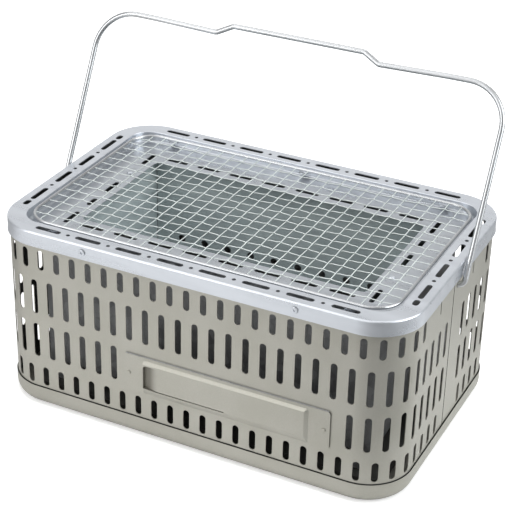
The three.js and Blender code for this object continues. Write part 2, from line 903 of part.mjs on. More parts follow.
function drawerRivet(side) {
  const reach = 2 * sheet + 2 * gap;
  const rivet = fastener(rivetHead, rivetHeadHeight, rivetShank, reach, 0).rotateX(Math.PI);
  const height = plateMiddle - drawerRivetDrop;
  return rivet.translate(drawerRivetX(side), -plateFace - gap, height);
}

// Bail

// A path through given points, so that a sweep takes its sections exactly there
class PathThrough extends THREE.Curve {
  constructor(points) {
    super();
    this.points = points;
  }

  getPoint(t, target = new THREE.Vector3()) {
    const place = THREE.MathUtils.clamp(t, 0, 1) * (this.points.length - 1);
    const index = Math.min(Math.floor(place), this.points.length - 2);
    return target.lerpVectors(this.points[index], this.points[index + 1], place - index);
  }

  getUtoTmapping(u) {
    return u;
  }

  getTangent(t, target = new THREE.Vector3()) {
    const index = Math.round(THREE.MathUtils.clamp(t, 0, 1) * (this.points.length - 1));
    const here = this.points[index];
    const before = this.points[index - 1] ?? here;
    const after = this.points[index + 1] ?? here;
    const arriving = new THREE.Vector3().subVectors(here, before).normalize();
    return target.subVectors(after, here).normalize().add(arriving).normalize();
  }
}

// One side of the bail from its pivot end up to the grip, in its own plane
function bailSide(side) {
  const points = [[bracketFace - bailInside, 0]];
  for (let step = 0; step <= roundSteps; step++) {
    const turn = (Math.PI / 2) * (step / roundSteps);
    const x = bailHalf - bailElbow * (1 - Math.sin(turn));
    points.push([x, bailElbow * (1 - Math.cos(turn))]);
  }
  for (let step = 0; step <= cornerSteps; step++) {
    const turn = (Math.PI / 2) * (step / cornerSteps);
    const x = bailHalf - bailCorner * (1 - Math.cos(turn));
    points.push([x, bailHeight - bailCorner * (1 - Math.sin(turn))]);
  }
  points.push([gripHalf + gripSlope, bailHeight - bailDip]);
  points.push([gripHalf, bailHeight - bailDip + gripRise]);
  return points.map(([x, height]) => new THREE.Vector3(side * x, 0, height));
}

function bailHandle() {
  const path = new PathThrough([...bailSide(1), ...bailSide(-1).reverse()]);
  const section = new THREE.Shape(
    Array.from({ length: bailSides }, (_, index) => {
      const angle = (2 * Math.PI * (index + 0.5)) / bailSides;
      return new THREE.Vector2(Math.cos(angle), Math.sin(angle)).multiplyScalar(bailWire / 2);
    }),
  );
  const settings = { steps: path.points.length - 1, extrudePath: path, bevelEnabled: false };
  const wire = solid(new THREE.ExtrudeGeometry(section, settings));
  const peens = [-1, 1].map((side) =>
    roundGeometry(peenRadius, peenLength, bailSides)
      .rotateZ(Math.PI / 2)
      .translate(side * (bracketFace - bailInside), 0, 0),
  );
  return wire.add(joinAll(peens));
}

function bailWasher(side) {
  const inner = bailWire / 2 + gap;
  const outline = [
    [inner, 0],
    [washerRadius, 0],
    [washerRadius, washerThickness],
    [inner, washerThickness],
    [inner, 0],
  ];
  const points = outline.map(([x, y]) => new THREE.Vector2(x, y));
  const seat = bracketFace - bracketSheet - gap - washerThickness / 2;
  return new THREE.LatheGeometry(points, bailSides)
    .translate(0, -washerThickness / 2, 0)
    .rotateZ(Math.PI / 2)
    .translate(side * seat, 0, 0);
}

// A channel behind the lapped seam, with two tabs that hook into slits in the casing
function bailBracket(side) {
  const [low, high] = [-bracketHalfHeight, bracketHalfHeight];
  const inner = bracketFace - bracketSheet;
  const outline = [
    [bracketFace, low],
    [bracketFace, high],
    [inner - bracketFlange, high],
    [inner - bracketFlange, high - bracketSheet],
    [inner, high - bracketSheet],
    [inner, low + bracketSheet],
    [inner - bracketFlange, low + bracketSheet],
    [inner - bracketFlange, low],
  ];
  const points = outline.map(([x, z]) => [side * x, z + pivotHeight - bracketDrop]);
  const channel = barAlongY(points, -bracketHalf, bracketHalf);
  const tabs = [-tabSlitY, tabSlitY].map((y) => {
    const middle = bodyHeight - tabSlitDrop;
    return boxGeometry(
      either(side, bracketFace - bracketSheet / 2, casingHalfX - gap),
      [y - bracketTab / 2, y + bracketTab / 2],
      [middle - bracketTabLength / 2, middle + bracketTabLength / 2],
    );
  });
  return cutAll(solid(channel).add(joinAll(tabs)), bailHoles());
}

// Net

// The frame's ring is extruded with bevelled edges, which gives its wire an eight-sided section
function netFrame() {
  const flat = (netFrameWire / 2) * Math.tan(Math.PI / 8);
  const bevel = netFrameWire / 2 - flat;
  const outline = roundedOutline(
    netFrameHalfX + flat,
    netFrameHalfY + flat,
    netFrameCorner + flat,
  );
  const inside = roundedOutline(
    netFrameHalfX - flat,
    netFrameHalfY - flat,
    netFrameCorner - flat,
  );
  const shape = new THREE.Shape(outline);
  shape.holes.push(new THREE.Path(inside));
  const ring = new THREE.ExtrudeGeometry(shape, {
    depth: 2 * flat,
    bevelThickness: bevel,
    bevelSize: bevel,
    bevelSegments: 1,
  });
  return ring.translate(0, 0, netHeight - flat);
}

// Near a rounded corner of the frame, the wires stop sooner than the ones between the corners
function netReach(place, halfAcross, halfAlong) {
  const corner = netFrameCorner - netFrameWire / 2;
  const wireEdge = Math.abs(place) + netWire / 2;
  const intoCorner = Math.max(wireEdge - (halfAcross - netFrameCorner), 0);
  const cut = corner - Math.sqrt(corner ** 2 - intoCorner ** 2);
  return halfAlong - netFrameWire / 2 - cut - gap;
}

// The two layers touch where an outermost wire crosses, so that the mesh is one piece
function netMesh() {
  const longPlaces = centred(fittedBetween(2 * netFrameHalfY, netPitch), netPitch);
  const crossPlaces = centred(fittedBetween(2 * netFrameHalfX, netPitch), netPitch);
  const wireAt = (place, places, length, layer) => {
    const isOutermost = place === places[0] || place === places[places.length - 1];
    const offset = netWeave / 2 - (isOutermost ? netEdgeDraw : 0);
    const wire = roundGeometry(netWire / 2, 2 * length, netWireSides);
    return wire.translate(place, 0, layer * offset);
  };
  const longWires = longPlaces.map((y) =>
    wireAt(y, longPlaces, netReach(y, netFrameHalfY, netFrameHalfX), 1).rotateZ(-Math.PI / 2),
  );
  const crossWires = crossPlaces.map((x) =>
    wireAt(x, crossPlaces, netReach(x, netFrameHalfX, netFrameHalfY), -1),
  );
  return joinAll(longWires).add(joinAll(crossWires)).translate([0, 0, netHeight]);
}

// Assembly

const finish = {
  paint: { color: 0xaeaca3, roughness: 0.5, metalness: 0 },
  rim: { color: 0xc8cbce, roughness: 0.35, metalness: 0.6 },
  zinc: { color: 0x9fa6a6, roughness: 0.4, metalness: 0.8 },
  grate: { color: 0x6f7272, roughness: 0.6, metalness: 0.7 },
  black: { color: 0x1c1c1a, roughness: 0.7, metalness: 0.1 },
  chrome: { color: 0xd8dadb, roughness: 0.15, metalness: 1 },
};
const materials = Object.fromEntries(
  Object.entries(finish).map(([name, values]) => [name, new THREE.MeshStandardMaterial(values)]),
);

function named(name, shape, material) {
  const geometry = shape.isBufferGeometry ? shape : geometryOf(shape);
  const mesh = new THREE.Mesh(geometry, materials[material]);
  mesh.name = name;
  return mesh;
}

const grill = new THREE.Group();
grill.add(
  named("base_pan", basePan(), "paint"),
  named("bottom_plate", bottomPlate(), "black"),
  named("casing_front", casingFront(), "paint"),
  named("casing_back", casingBack(), "paint"),
  named("top_rim", topRim(), "rim"),
  named("rim_screw_front_left", rimScrew(-1, -1), "chrome"),
  named("rim_screw_front_right", rimScrew(1, -1), "chrome"),
  named("rim_screw_back_left", rimScrew(-1, 1), "chrome"),
  named("rim_screw_back_right", rimScrew(1, 1), "chrome"),
  named("firebox_front", fireboxLongWall(-1), "zinc"),
  named("firebox_back", fireboxLongWall(1), "zinc"),
  named("firebox_left", fireboxEndWall(-1), "zinc"),
  named("firebox_right", fireboxEndWall(1), "zinc"),
  named("firebox_floor", fireboxFloor(), "zinc"),
  named("firebox_rivet_left", fireboxRivet(fireboxRivetPlaces()[0]), "chrome"),
  named("firebox_rivet_right", fireboxRivet(fireboxRivetPlaces()[1]), "chrome"),
  named("fire_grate", fireGrate(), "grate"),
  named("shield_front", shieldFront(), "zinc"),
  named("shield_back", shieldLongPanel(1), "zinc"),
  named("shield_left", shieldEndPanel(-1), "zinc"),
  named("shield_right", shieldEndPanel(1), "zinc"),
  named("runner_left", runner(-1), "zinc"),
  named("runner_right", runner(1), "zinc"),
  named("drawer_tray", drawerTray(), "zinc"),
  named("drawer_front", drawerFront(), "paint"),
  named("drawer_rivet_left", drawerRivet(-1), "chrome"),
  named("drawer_rivet_right", drawerRivet(1), "chrome"),
  named("bracket_left", bailBracket(-1), "zinc"),
  named("bracket_right", bailBracket(1), "zinc"),
);

const bail = new THREE.Group();
bail.position.z = pivotHeight;
bail.rotation.x = -THREE.MathUtils.degToRad(bailLeanDeg);
bail.add(
  named("bail_handle", bailHandle(), "chrome"),
  named("bail_washer_left", bailWasher(-1), "chrome"),
  named("bail_washer_right", bailWasher(1), "chrome"),
);

const net = new THREE.Group();
net.add(named("net_frame", netFrame(), "chrome"), named("net_mesh", netMesh(), "chrome"));
grill.add(bail, net);

export default grill;
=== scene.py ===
import math
import bmesh
import bpy
import numpy as np
from mathutils import Matrix, Vector


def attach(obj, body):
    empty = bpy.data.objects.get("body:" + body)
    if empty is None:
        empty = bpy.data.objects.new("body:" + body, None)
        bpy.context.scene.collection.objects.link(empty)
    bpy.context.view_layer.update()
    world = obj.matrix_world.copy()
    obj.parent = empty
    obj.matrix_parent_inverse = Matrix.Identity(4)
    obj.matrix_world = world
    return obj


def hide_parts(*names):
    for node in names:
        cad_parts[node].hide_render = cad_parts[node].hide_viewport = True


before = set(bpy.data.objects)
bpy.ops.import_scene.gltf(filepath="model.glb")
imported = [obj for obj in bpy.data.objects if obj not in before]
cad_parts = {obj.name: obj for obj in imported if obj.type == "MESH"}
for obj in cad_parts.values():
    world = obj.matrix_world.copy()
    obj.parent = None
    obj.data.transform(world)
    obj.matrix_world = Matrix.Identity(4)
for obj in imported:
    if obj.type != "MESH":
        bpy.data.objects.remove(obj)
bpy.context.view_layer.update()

scene = bpy.context.scene
mm = 0.001  # sizes are written in millimetres and made metres in the mesh
xAxis, yAxis, zAxis = np.eye(3)

# Sizes that several pieces share
grill = {
    "sheet": 0.8,
    "gap": 0.3,
    "casingHalfX": 194,
    "casingHalfY": 124.5,
    "casingCorner": 41,
    "slotPitch": 16,
    "top": 179,
    "wellHalfX": 177,
    "wellHalfY": 108,
    "mouthHalfX": 137,
    "mouthHalfY": 67.5,
    "wellFloor": 168.7,
    "pivot": 157.8,
    "drawerX": 37.5,
    "screwX": 100,
    "screwZ": 172,
    "screwHole": 2.1,
    "cut": 5,  # how far a cutter reaches past the casing
    "thinCut": 3,  # and past the other sheets
}

# Camera
cameraSettings = {
    "position": (0.536955, -1.106587, 0.807417),
    "azimuth": 25.7359,  # degrees to the right of straight on
    "elevation": 28.6804,  # degrees above the rim
    "roll": 1.4035,
    "lens": 109.39,
}


def makeCamera(settings):
    data = bpy.data.cameras.new("camera")
    data.lens = settings["lens"]
    data.sensor_width = 36
    data.clip_end = 20
    camera = bpy.data.objects.new("camera", data)
    turn = (
        Matrix.Rotation(math.radians(settings["azimuth"]), 4, "Z")
        @ Matrix.Rotation(math.radians(90 - settings["elevation"]), 4, "X")
        @ Matrix.Rotation(math.radians(settings["roll"]), 4, "Z")
    )
    camera.matrix_world = Matrix.Translation(settings["position"]) @ turn
    scene.collection.objects.link(camera)
    scene.camera = camera


makeCamera(cameraSettings)
scene.view_settings.view_transform = "Standard"
print("camera ready")


# Node helpers
def linear(red, green, blue):
    # a screen colour from 0 to 255, as the linear colour that the shader wants
    share = np.array([red, green, blue]) / 255
    low, high = share / 12.92, ((share + 0.055) / 1.055) ** 2.4
    return (*np.where(share <= 0.04045, low, high).tolist(), 1)


def setInputs(tree, node, **inputs):
    # a constant or a link for each socket: i2 is socket number 2, and _ is a space in a name
    for key, value in inputs.items():
        numbered = key[0] == "i" and key[1:].isdigit()
        socket = node.inputs[int(key[1:]) if numbered else key.replace("_", " ")]
        if isinstance(value, bpy.types.NodeSocket):
            tree.links.new(value, socket)
        else:
            socket.default_value = value


def addNode(tree, kind, settings=None, **inputs):
    node = tree.nodes.new(kind)
    for key, value in (settings or {}).items():
        setattr(node, key, value)
    setInputs(tree, node, **inputs)
    return node


def mathNode(tree, operation, first, second=0.0):
    return addNode(tree, "ShaderNodeMath", {"operation": operation}, i0=first, i1=second).outputs[0]


def mixColours(tree, share, first, second, blend="MIX"):
    settings = {"data_type": "RGBA", "blend_type": blend}
    return addNode(tree, "ShaderNodeMix", settings, Factor=share, i6=first, i7=second).outputs[2]


def mixValues(tree, share, first, second):
    settings = {"data_type": "FLOAT"}
    return addNode(tree, "ShaderNodeMix", settings, Factor=share, i2=first, i3=second).outputs[0]


def remap(tree, value, low, high, outLow=0.0, outHigh=1.0):
    ends = {"From_Min": low, "From_Max": high, "To_Min": outLow, "To_Max": outHigh}
    return addNode(tree, "ShaderNodeMapRange", Value=value, **ends).outputs[0]


def objectPlace(tree):
    return addNode(tree, "ShaderNodeTexCoord").outputs["Object"]


def mapped(tree, place, **inputs):
    return addNode(tree, "ShaderNodeMapping", Vector=place, **inputs).outputs[0]


def noise(tree, place, scale, detail):
    return addNode(tree, "ShaderNodeTexNoise", Vector=place, Scale=scale, Detail=detail).outputs


def attribute(tree, name):
    return addNode(tree, "ShaderNodeAttribute", {"attribute_name": name}).outputs["Fac"]


def newGroup(name, inputs, *outputs):
    tree = bpy.data.node_groups.new(name, "ShaderNodeTree")
    for label, value in inputs.items():
        kind = "NodeSocketVector" if isinstance(value, tuple) else "NodeSocketFloat"
        tree.interface.new_socket(label, in_out="INPUT", socket_type=kind).default_value = value
    for label in outputs:
        tree.interface.new_socket(label, in_out="OUTPUT", socket_type="NodeSocketFloat")
    return tree, tree.nodes.new("NodeGroupInput").outputs, tree.nodes.new("NodeGroupOutput")


def useGroup(tree, group, **inputs):
    return addNode(tree, "ShaderNodeGroup", {"node_tree": group}, **inputs).outputs


effects = {
    "middle": (0.3, 0.7),  # most of a noise's values lie between these
    "cloudMiddle": (0.35, 0.65),
    "cloudScale": 0.02,  # as a share of the grain's scale
    "warp": (60, 0.012),  # scale and metres of the bend in the crystals' borders
    "seam": 0.06,
    "scratchScale": 55,
    "scratchStretch": (1, 14, 14),
    "scratchPatch": (0.55, 0.65),
    "scratchWidth": 0.012,
    "scratchDepth": 0.6,
    "grainRoughness": 0.04,
}


# Grain: fine, even unevenness of a coat of paint or a rolled sheet
def makeGrainGroup():
    inputs = {"Scale": 900, "Stretch": (1, 1, 1)}
    tree, given, end = newGroup("grain", inputs, "Grain", "Cloud")
    place = mapped(tree, objectPlace(tree), Scale=given["Stretch"])
    broad = mathNode(tree, "MULTIPLY", given["Scale"], effects["cloudScale"])
    fine, cloud = noise(tree, place, given["Scale"], 3.0), noise(tree, place, broad, 4.0)
    setInputs(tree, end, Grain=fine[0], Cloud=cloud[0])
    return tree


# Spangle: the flat crystals that zinc leaves on a galvanised sheet
def makeSpangleGroup():
    tree, given, end = newGroup("spangle", {"Scale": 120}, "Crystal", "Seam")
    place = objectPlace(tree)
    scale, reach = effects["warp"]
    shifted = addNode(
        tree, "ShaderNodeVectorMath", {"operation": "MULTIPLY_ADD"},
        i0=noise(tree, place, scale, 2.0)[1], i1=(reach, reach, reach), i2=place,
    ).outputs[0]
    place = {"Vector": shifted, "Scale": given["Scale"]}
    cells, edge = (
        addNode(tree, "ShaderNodeTexVoronoi", {"feature": feature}, **place)
        for feature in ("F1", "DISTANCE_TO_EDGE")
    )
    parts = addNode(tree, "ShaderNodeSeparateColor", Color=cells.outputs["Color"])
    seam = remap(tree, edge.outputs["Distance"], 0.0, effects["seam"], 1.0, 0.0)
    setInputs(tree, end, Crystal=parts.outputs[0], Seam=seam)
    return tree


# Scratches: short fine lines left by handling, as thin ridges of a stretched noise
def makeScratchGroup():
    tree, given, end = newGroup("scratches", {"Scale": 60, "Turn": (0.3, 0.2, 0.5)}, "Scratch")
    place = objectPlace(tree)
    stretched = mapped(tree, place, Rotation=given["Turn"], Scale=effects["scratchStretch"])
    fibres = noise(tree, stretched, given["Scale"], 2.0)[0]
    ridge = mathNode(tree, "ABSOLUTE", mathNode(tree, "SUBTRACT", fibres, 0.5))
    patch = remap(tree, noise(tree, place, given["Scale"], 1.0)[0], *effects["scratchPatch"])
    line = remap(tree, ridge, 0.0, effects["scratchWidth"], 1.0, 0.0)
    setInputs(tree, end, Scratch=mathNode(tree, "MULTIPLY", line, patch))
    return tree


grainGroup = makeGrainGroup()
spangleGroup = makeSpangleGroup()
scratchGroup = makeScratchGroup()


# Materials
def startMaterial(name, **constants):
    material = bpy.data.materials.new(name)
    material.use_nodes = True
    shader = material.node_tree.nodes["Principled BSDF"]
    setInputs(material.node_tree, shader, **constants)
    return material, material.node_tree, shader


def startCoat(name, look, **constants):
    # a material with its grain and the share of the light tone in its colour
    material, tree, shader = startMaterial(name, Metallic=look["metallic"], **constants)
    stretch = look.get("stretch", (1, 1, 1))
    grain = useGroup(tree, grainGroup, Scale=look["grainScale"], Stretch=stretch)
    return material, tree, shader, grain, remap(tree, grain["Cloud"], *effects["cloudMiddle"])


def twoTones(tree, share, look):
    return mixColours(tree, share, linear(*look["dark"]), linear(*look["light"]))


def finish(tree, shader, look, colour, rough, height):
    bump = addNode(tree, "ShaderNodeBump", Height=height, Distance=look["bump"] * mm, Strength=1.0)
    setInputs(tree, shader, Base_Color=colour, Roughness=rough, Normal=bump.outputs[0])


paintLook = {
    "light": (181, 179, 170),
    "dark": (173, 171, 161),
    # painted shade: the colour of the shade painted into the drawer's finger hollow and slit
    "paintedShade": (122, 119, 110),
    "fleck": 0.35,
    "specular": 0.4,
    "metallic": 0.55,
    "roughness": (0.32, 0.42),
    "grainScale": 1100,
    "bump": 0.03,
}


def makePaint(name, look, shadeMask=False):
    specular = look["specular"]
    material, tree, shader, grain, share = startCoat(name, look, Specular_IOR_Level=specular)
    fleck = remap(tree, grain["Grain"], *effects["middle"], -look["fleck"], look["fleck"])
    colour = twoTones(tree, mathNode(tree, "ADD", share, fleck), look)
    if shadeMask:  # painted shade: the colour goes darker in the pressed finger hollow and along the slit
        colour = mixColours(tree, attribute(tree, "shadeMask"), colour, linear(*look["paintedShade"]))
    rough = remap(tree, grain["Cloud"], *effects["middle"], *look["roughness"])
    finish(tree, shader, look, colour, rough, grain["Grain"])
    return material


metalLooks = {
    "rimPlate": {
        "light": (215, 219, 225), "dark": (207, 211, 217), "metallic": 0.85,
        "sunk": 0.86,  # painted shade: how bright the colour stays down in the well, under the net
        "roughness": (0.24, 0.32), "grainScale": 700, "stretch": (1, 6, 6), "scratch": 0.25,
        "bump": 0.006,
    },
    "bailWire": {
        "light": (204, 206, 208), "dark": (190, 192, 194), "metallic": 1.0,
        "roughness": (0.22, 0.3), "grainScale": 900, "scratch": 0.4, "bump": 0.006,
    },
    "netWire": {
        "light": (212, 218, 216), "dark": (198, 204, 202), "metallic": 0.4,
        "roughness": (0.35, 0.45), "grainScale": 900, "scratch": 0.4, "bump": 0.006,
    },
    "fireSteel": {
        "light": (190, 200, 201), "dark": (174, 185, 187), "metallic": 0.1,
        "roughness": (0.4, 0.55), "grainScale": 500, "stretch": (1, 1, 8), "scratch": 0.7,
        "bump": 0.02,
    },
}


def makeMetal(name, look):
    material, tree, shader, grain, share = startCoat(name, look)
    scratch = useGroup(tree, scratchGroup, Scale=effects["scratchScale"])["Scratch"]
    worn = mathNode(tree, "ADD", share, mathNode(tree, "MULTIPLY", scratch, look["scratch"]))
    colour = twoTones(tree, worn, look)
    # painted shade: the colour is darker down in the well
    if "sunk" in look:
        tone = remap(tree, attribute(tree, "well"), 0.0, 1.0, 1.0, look["sunk"])
        colour = mixColours(tree, 1.0, colour, tone, "MULTIPLY")
    rough = remap(tree, grain["Cloud"], *effects["middle"], *look["roughness"])
    uneven = mathNode(tree, "MULTIPLY", grain["Grain"], effects["grainRoughness"])
    rough = mathNode(tree, "ADD", rough, uneven)
    depth = mathNode(tree, "MULTIPLY", scratch, effects["scratchDepth"])
    height = mathNode(tree, "SUBTRACT", grain["Grain"], depth)
    finish(tree, shader, look, colour, rough, height)
    return material


zincLook = {
    "light": (172, 173, 174),
    "dark": (146, 147, 148),
    "seam": (126, 127, 128),
    "seamShare": 0.35,
    "metallic": 0.35,
    "crystals": 110,
    "roughness": (0.34, 0.52),
    "grainScale": 600,
    "bump": 0.012,
}


def makeZinc(look):
    material, tree, shader = startMaterial("zincSheet", Metallic=look["metallic"])
    spangle = useGroup(tree, spangleGroup, Scale=look["crystals"])
    grain = useGroup(tree, grainGroup, Scale=look["grainScale"])
    seam = mathNode(tree, "MULTIPLY", spangle["Seam"], look["seamShare"])
    colour = mixColours(tree, seam, twoTones(tree, spangle["Crystal"], look), linear(*look["seam"]))
    rough = remap(tree, spangle["Crystal"], 0.0, 1.0, *look["roughness"])
    finish(tree, shader, look, colour, rough, grain["Grain"])
    return material


darkLooks = {
    "grateEnamel": {
        "light": (122, 126, 126), "dark": (96, 100, 100), "metallic": 0.5,
        "roughness": (0.45, 0.62), "grainScale": 650, "bump": 0.05,
    },
    # dark sheet colour: bare steel at cut ends and on the drawer front's back, painted shade inside the
    # casing, in the gaps and on the brackets
    "bareOrShadeSheet": {
        "light": (88, 89, 87), "dark": (72, 73, 71), "metallic": 0.4,
        "roughness": (0.5, 0.65), "grainScale": 700, "bump": 0.02,
    },
    # painted shade: a dark sheet colour for the bottom plate and the firebox walls' outsides, which stand in
    # the dark inside the casing
    "paintedShadeSheet": {
        "light": (82, 81, 77), "dark": (66, 66, 62), "metallic": 0.0,
        "roughness": (0.55, 0.75), "grainScale": 800, "bump": 0.04,
    },
}


def makeDark(name, look):
    material, tree, shader, grain, share = startCoat(name, look)
    rough = remap(tree, grain["Grain"], *effects["middle"], *look["roughness"])
    finish(tree, shader, look, twoTones(tree, share, look), rough, grain["Grain"])
    return material


paint = makePaint("beigePaint", paintLook)
drawerPaint = makePaint("drawerPaint", paintLook, shadeMask=True)
rimPlate, bailWire, netWire, fireSteel = (
    makeMetal(name, look) for name, look in metalLooks.items()
)
zincSheet = makeZinc(zincLook)
grateEnamel, bareOrShadeSheet, paintedShadeSheet = (makeDark(name, look) for name, look in darkLooks.items())
print("materials ready")


# Mesh helpers
def toPoints(x, y, z):
    return np.stack(np.broadcast_arrays(x, y, z), axis=-1).astype(float)


def around(sides):
    return np.arange(sides) * 2 * np.pi / sides


def centred(count, pitch):
    return (np.arange(count) - (count - 1) / 2) * pitch


def gridFaces(rows, columns, closeRows=False, closeColumns=False):
    # each face joins a grid point to its neighbours in the next row and the next column
    row = np.arange(rows if closeRows else rows - 1)[:, None]
    column = np.arange(columns if closeColumns else columns - 1)[None, :]
    nextRow, nextColumn = (row + 1) % rows, (column + 1) % columns
    corners = (
        row * columns + column,
        row * columns + nextColumn,
        nextRow * columns + nextColumn,
        nextRow * columns + column,
    )
    return np.stack(np.broadcast_arrays(*corners), axis=-1).reshape(-1, 4)


def shells(points, closed=False):
    # points by shape, loop and place in the loop: the loops joined in a row, with a flat face on
    # the first and on the last, or joined into a ring
    count, rows, columns = points.shape[:3]
    first = np.arange(count)[:, None, None] * rows * columns
    walls = gridFaces(rows, columns, closeRows=closed, closeColumns=True) + first
    faces = [walls.reshape(-1, 4)]
    if not closed:
        ends = np.arange(columns) + np.array([[0], [(rows - 1) * columns]])
        faces.append((ends + first).reshape(-1, columns))
    return points.reshape(-1, 3), faces


def joined(blocks):
    # the points and faces of several blocks as those of one
    starts = np.cumsum([0] + [len(points) for points, _ in blocks])
    faces = [part + start for start, (_, parts) in zip(starts, blocks) for part in parts]
    return np.concatenate([points for points, _ in blocks]), faces


def newPiece(name, points, faces):
    # faces is a list of arrays of point numbers, one row for each face
    mesh = bpy.data.meshes.new(name)
    rows = [face for block in faces for face in np.asarray(block).tolist()]
    mesh.from_pydata((np.asarray(points, float).reshape(-1, 3) * mm).tolist(), [], rows)
    work = bmesh.new()
    work.from_mesh(mesh)
    bmesh.ops.recalc_face_normals(work, faces=work.faces)
    work.to_mesh(mesh)
    work.free()
    piece = bpy.data.objects.new(name, mesh)
    scene.collection.objects.link(piece)
    return piece


def newShell(name, points):
    return newPiece(name, *shells(points[None]))


def combine(piece, other, operation):
    # joins another closed shape to the piece or cuts it away, and keeps only the result
    step = piece.modifiers.new("combine", "BOOLEAN")
    step.operation = operation
    step.solver = "MANIFOLD"
    step.object = other
    result = bpy.data.meshes.new_from_object(
        piece.evaluated_get(bpy.context.evaluated_depsgraph_get())
    )
    piece.modifiers.clear()
    piece.data = result
    result.name = piece.name
    bpy.data.objects.remove(other)


def dress(piece, material, bodyName, nodes, sharp=32):
    # material, smooth shading that keeps flat faces flat, and the piece's place in the frame
    piece.data.materials.clear()
    piece.data.materials.append(material)
    piece.data.shade_smooth()
    piece.data.set_sharp_from_angle(angle=math.radians(sharp))
    piece.modifiers.new("flat faces", "WEIGHTED_NORMAL").keep_sharp = True
    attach(piece, bodyName)
    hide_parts(*nodes)


def secondMaterial(piece, material, chosen):
    piece.data.materials.append(material)
    piece.data.polygons.foreach_set("material_index", chosen.astype(np.int32))


def readVectors(items, key):
    values = np.zeros(len(items) * 3)
    items.foreach_get(key, values)
    return values.reshape(-1, 3)


def writeMask(piece, name, values):
    mask = piece.data.attributes.new(name, "FLOAT", "POINT")
    mask.data.foreach_set("value", values.astype(np.float32))


def loopStations(arcSteps, sideSteps):
    # round a rectangle with round corners: a place on the rectangle of the corners' centres,
    # from -1 to 1 each way, and the direction out of it
    signs = np.array([[1, -1], [1, 1], [-1, 1], [-1, -1]], float)
    places, directions = [], []
    for index, sign in enumerate(signs):
        turn = np.radians(np.linspace(-90, 0, arcSteps + 1) + 90 * index)
        out = np.stack([np.cos(turn), np.sin(turn)], axis=1)
        share = np.arange(1, sideSteps)[:, None] / sideSteps
        step = signs[(index + 1) % 4] - sign
        places += [np.repeat(sign[None], arcSteps + 1, 0), sign + step * share]
        directions += [out, np.repeat(out[-1:], sideSteps - 1, 0)]
    return np.concatenate(places), np.concatenate(directions)


def loops(sections, arcSteps=16, sideSteps=6):
    # each section is half width, half depth, corner radius and height, and gives one loop: place
    # times the half sizes less the radius, plus the radius times the direction out
    place, out = loopStations(arcSteps, sideSteps)
    sections = np.array(sections, float)
    halves, corner, height = sections[:, None, :2], sections[:, None, 2:3], sections[:, None, 3:]
    flat = place * (halves - corner) + out * corner
    return np.concatenate([flat, np.broadcast_to(height, (*flat.shape[:2], 1))], axis=2)


outward, inward = np.array([1, 1, 1, 0.0]), np.array([-1, -1, -1, 0.0])
upward, downward = np.array([0, 0, 0, 1.0]), np.array([0, 0, 0, -1.0])


def bend(at, before, after, radius, steps=5):
    # a quarter turn between two directions: at + r(1 - sin a) before + r(1 - cos a) after
    angle = np.linspace(0, np.pi / 2, steps + 1)[:, None]
    curve = (1 - np.sin(angle)) * before + (1 - np.cos(angle)) * after
    return list(np.array(at) + radius * curve)


def profile(*parts):
    # a row of sections: single ones, and quarter turns that are given as the values for bend
    return [row for part in parts for row in (bend(*part) if isinstance(part, tuple) else [part])]


def obround(width, length, steps=8):
    # the outline of a round-ended slot, its length upright: two half circles, one at each end
    turn = np.linspace(0, np.pi, steps + 1)
    cap = np.stack([np.cos(turn), np.sin(turn)], axis=1) * width / 2
    middle = np.array([0, (length - width) / 2])
    return np.concatenate([cap + middle, -cap - middle])


def circle(radius, sides=24):
    turn = around(sides)
    return np.stack([np.cos(turn), np.sin(turn)], axis=1) * radius


def prisms(places, across, along, through, outline, reach):
    # one straight cutter for each place: place + u across + v along, from -reach to +reach through
    places, across, along, through = (
        np.broadcast_to(np.array(values, float), np.array(places).shape)[:, None, None]
        for values in (places, across, along, through)
    )
    outline = np.array(outline)
    flat = outline[None, None, :, :1] * across + outline[None, None, :, 1:] * along
    ends = np.array([-reach, reach], float)[None, :, None, None] * through
    return shells(places + flat + ends)


def cutAway(piece, blocks):
    combine(piece, newPiece("cutter", *joined(blocks)), "DIFFERENCE")


# Casing
casing = {
    "bottom": 10.3,
    "foot": (19.4, 20.4, 0.5),  # where the part inside the pan ends, from and to, and its step in
    "top": 177.9,
    "lapHalf": 8,
    "lapStep": 1.1,
    "slotWidth": 6,
    "rows": {  # height, slot length, shift in pitches, plain strip at the seam
        "first": (151.7, 19.5, 0, 70),
        "second": (113.8, 34.5, 0.5, 17),
        "third": (69.1, 34.5, 0.5, 17),
        "fourth": (32, 19.5, 0, 17),
    },
    "drawerClear": 104.1,
    "opening": (85.2, 48.3, 73.7),  # half width and the two heights of the drawer's opening
    "bailHole": 2.8,
    "tabSlit": (1.8, 14, 40, 156),  # width, length, distance from the seam, height
    "bare": (0.7, 0.9, 0.1),  # how squarely the inside and a cut end face, and the end's margin
}


def casingStations(distance):
    # along the outer face from the middle of the front: straight, round the corner, straight
    side, along = np.sign(distance), np.abs(distance)
    corner = grill["casingCorner"]
    flat = grill["casingHalfX"] - corner
    turn = np.clip((along - flat) / corner, 0, np.pi / 2)
    past = np.maximum(along - flat - corner * np.pi / 2, 0)
    x = side * (np.minimum(along, flat) + corner * np.sin(turn))
    y = -grill["casingHalfY"] + corner * (1 - np.cos(turn)) + past
    return toPoints(x, y, 0), toPoints(side * np.sin(turn), -np.cos(turn), 0)


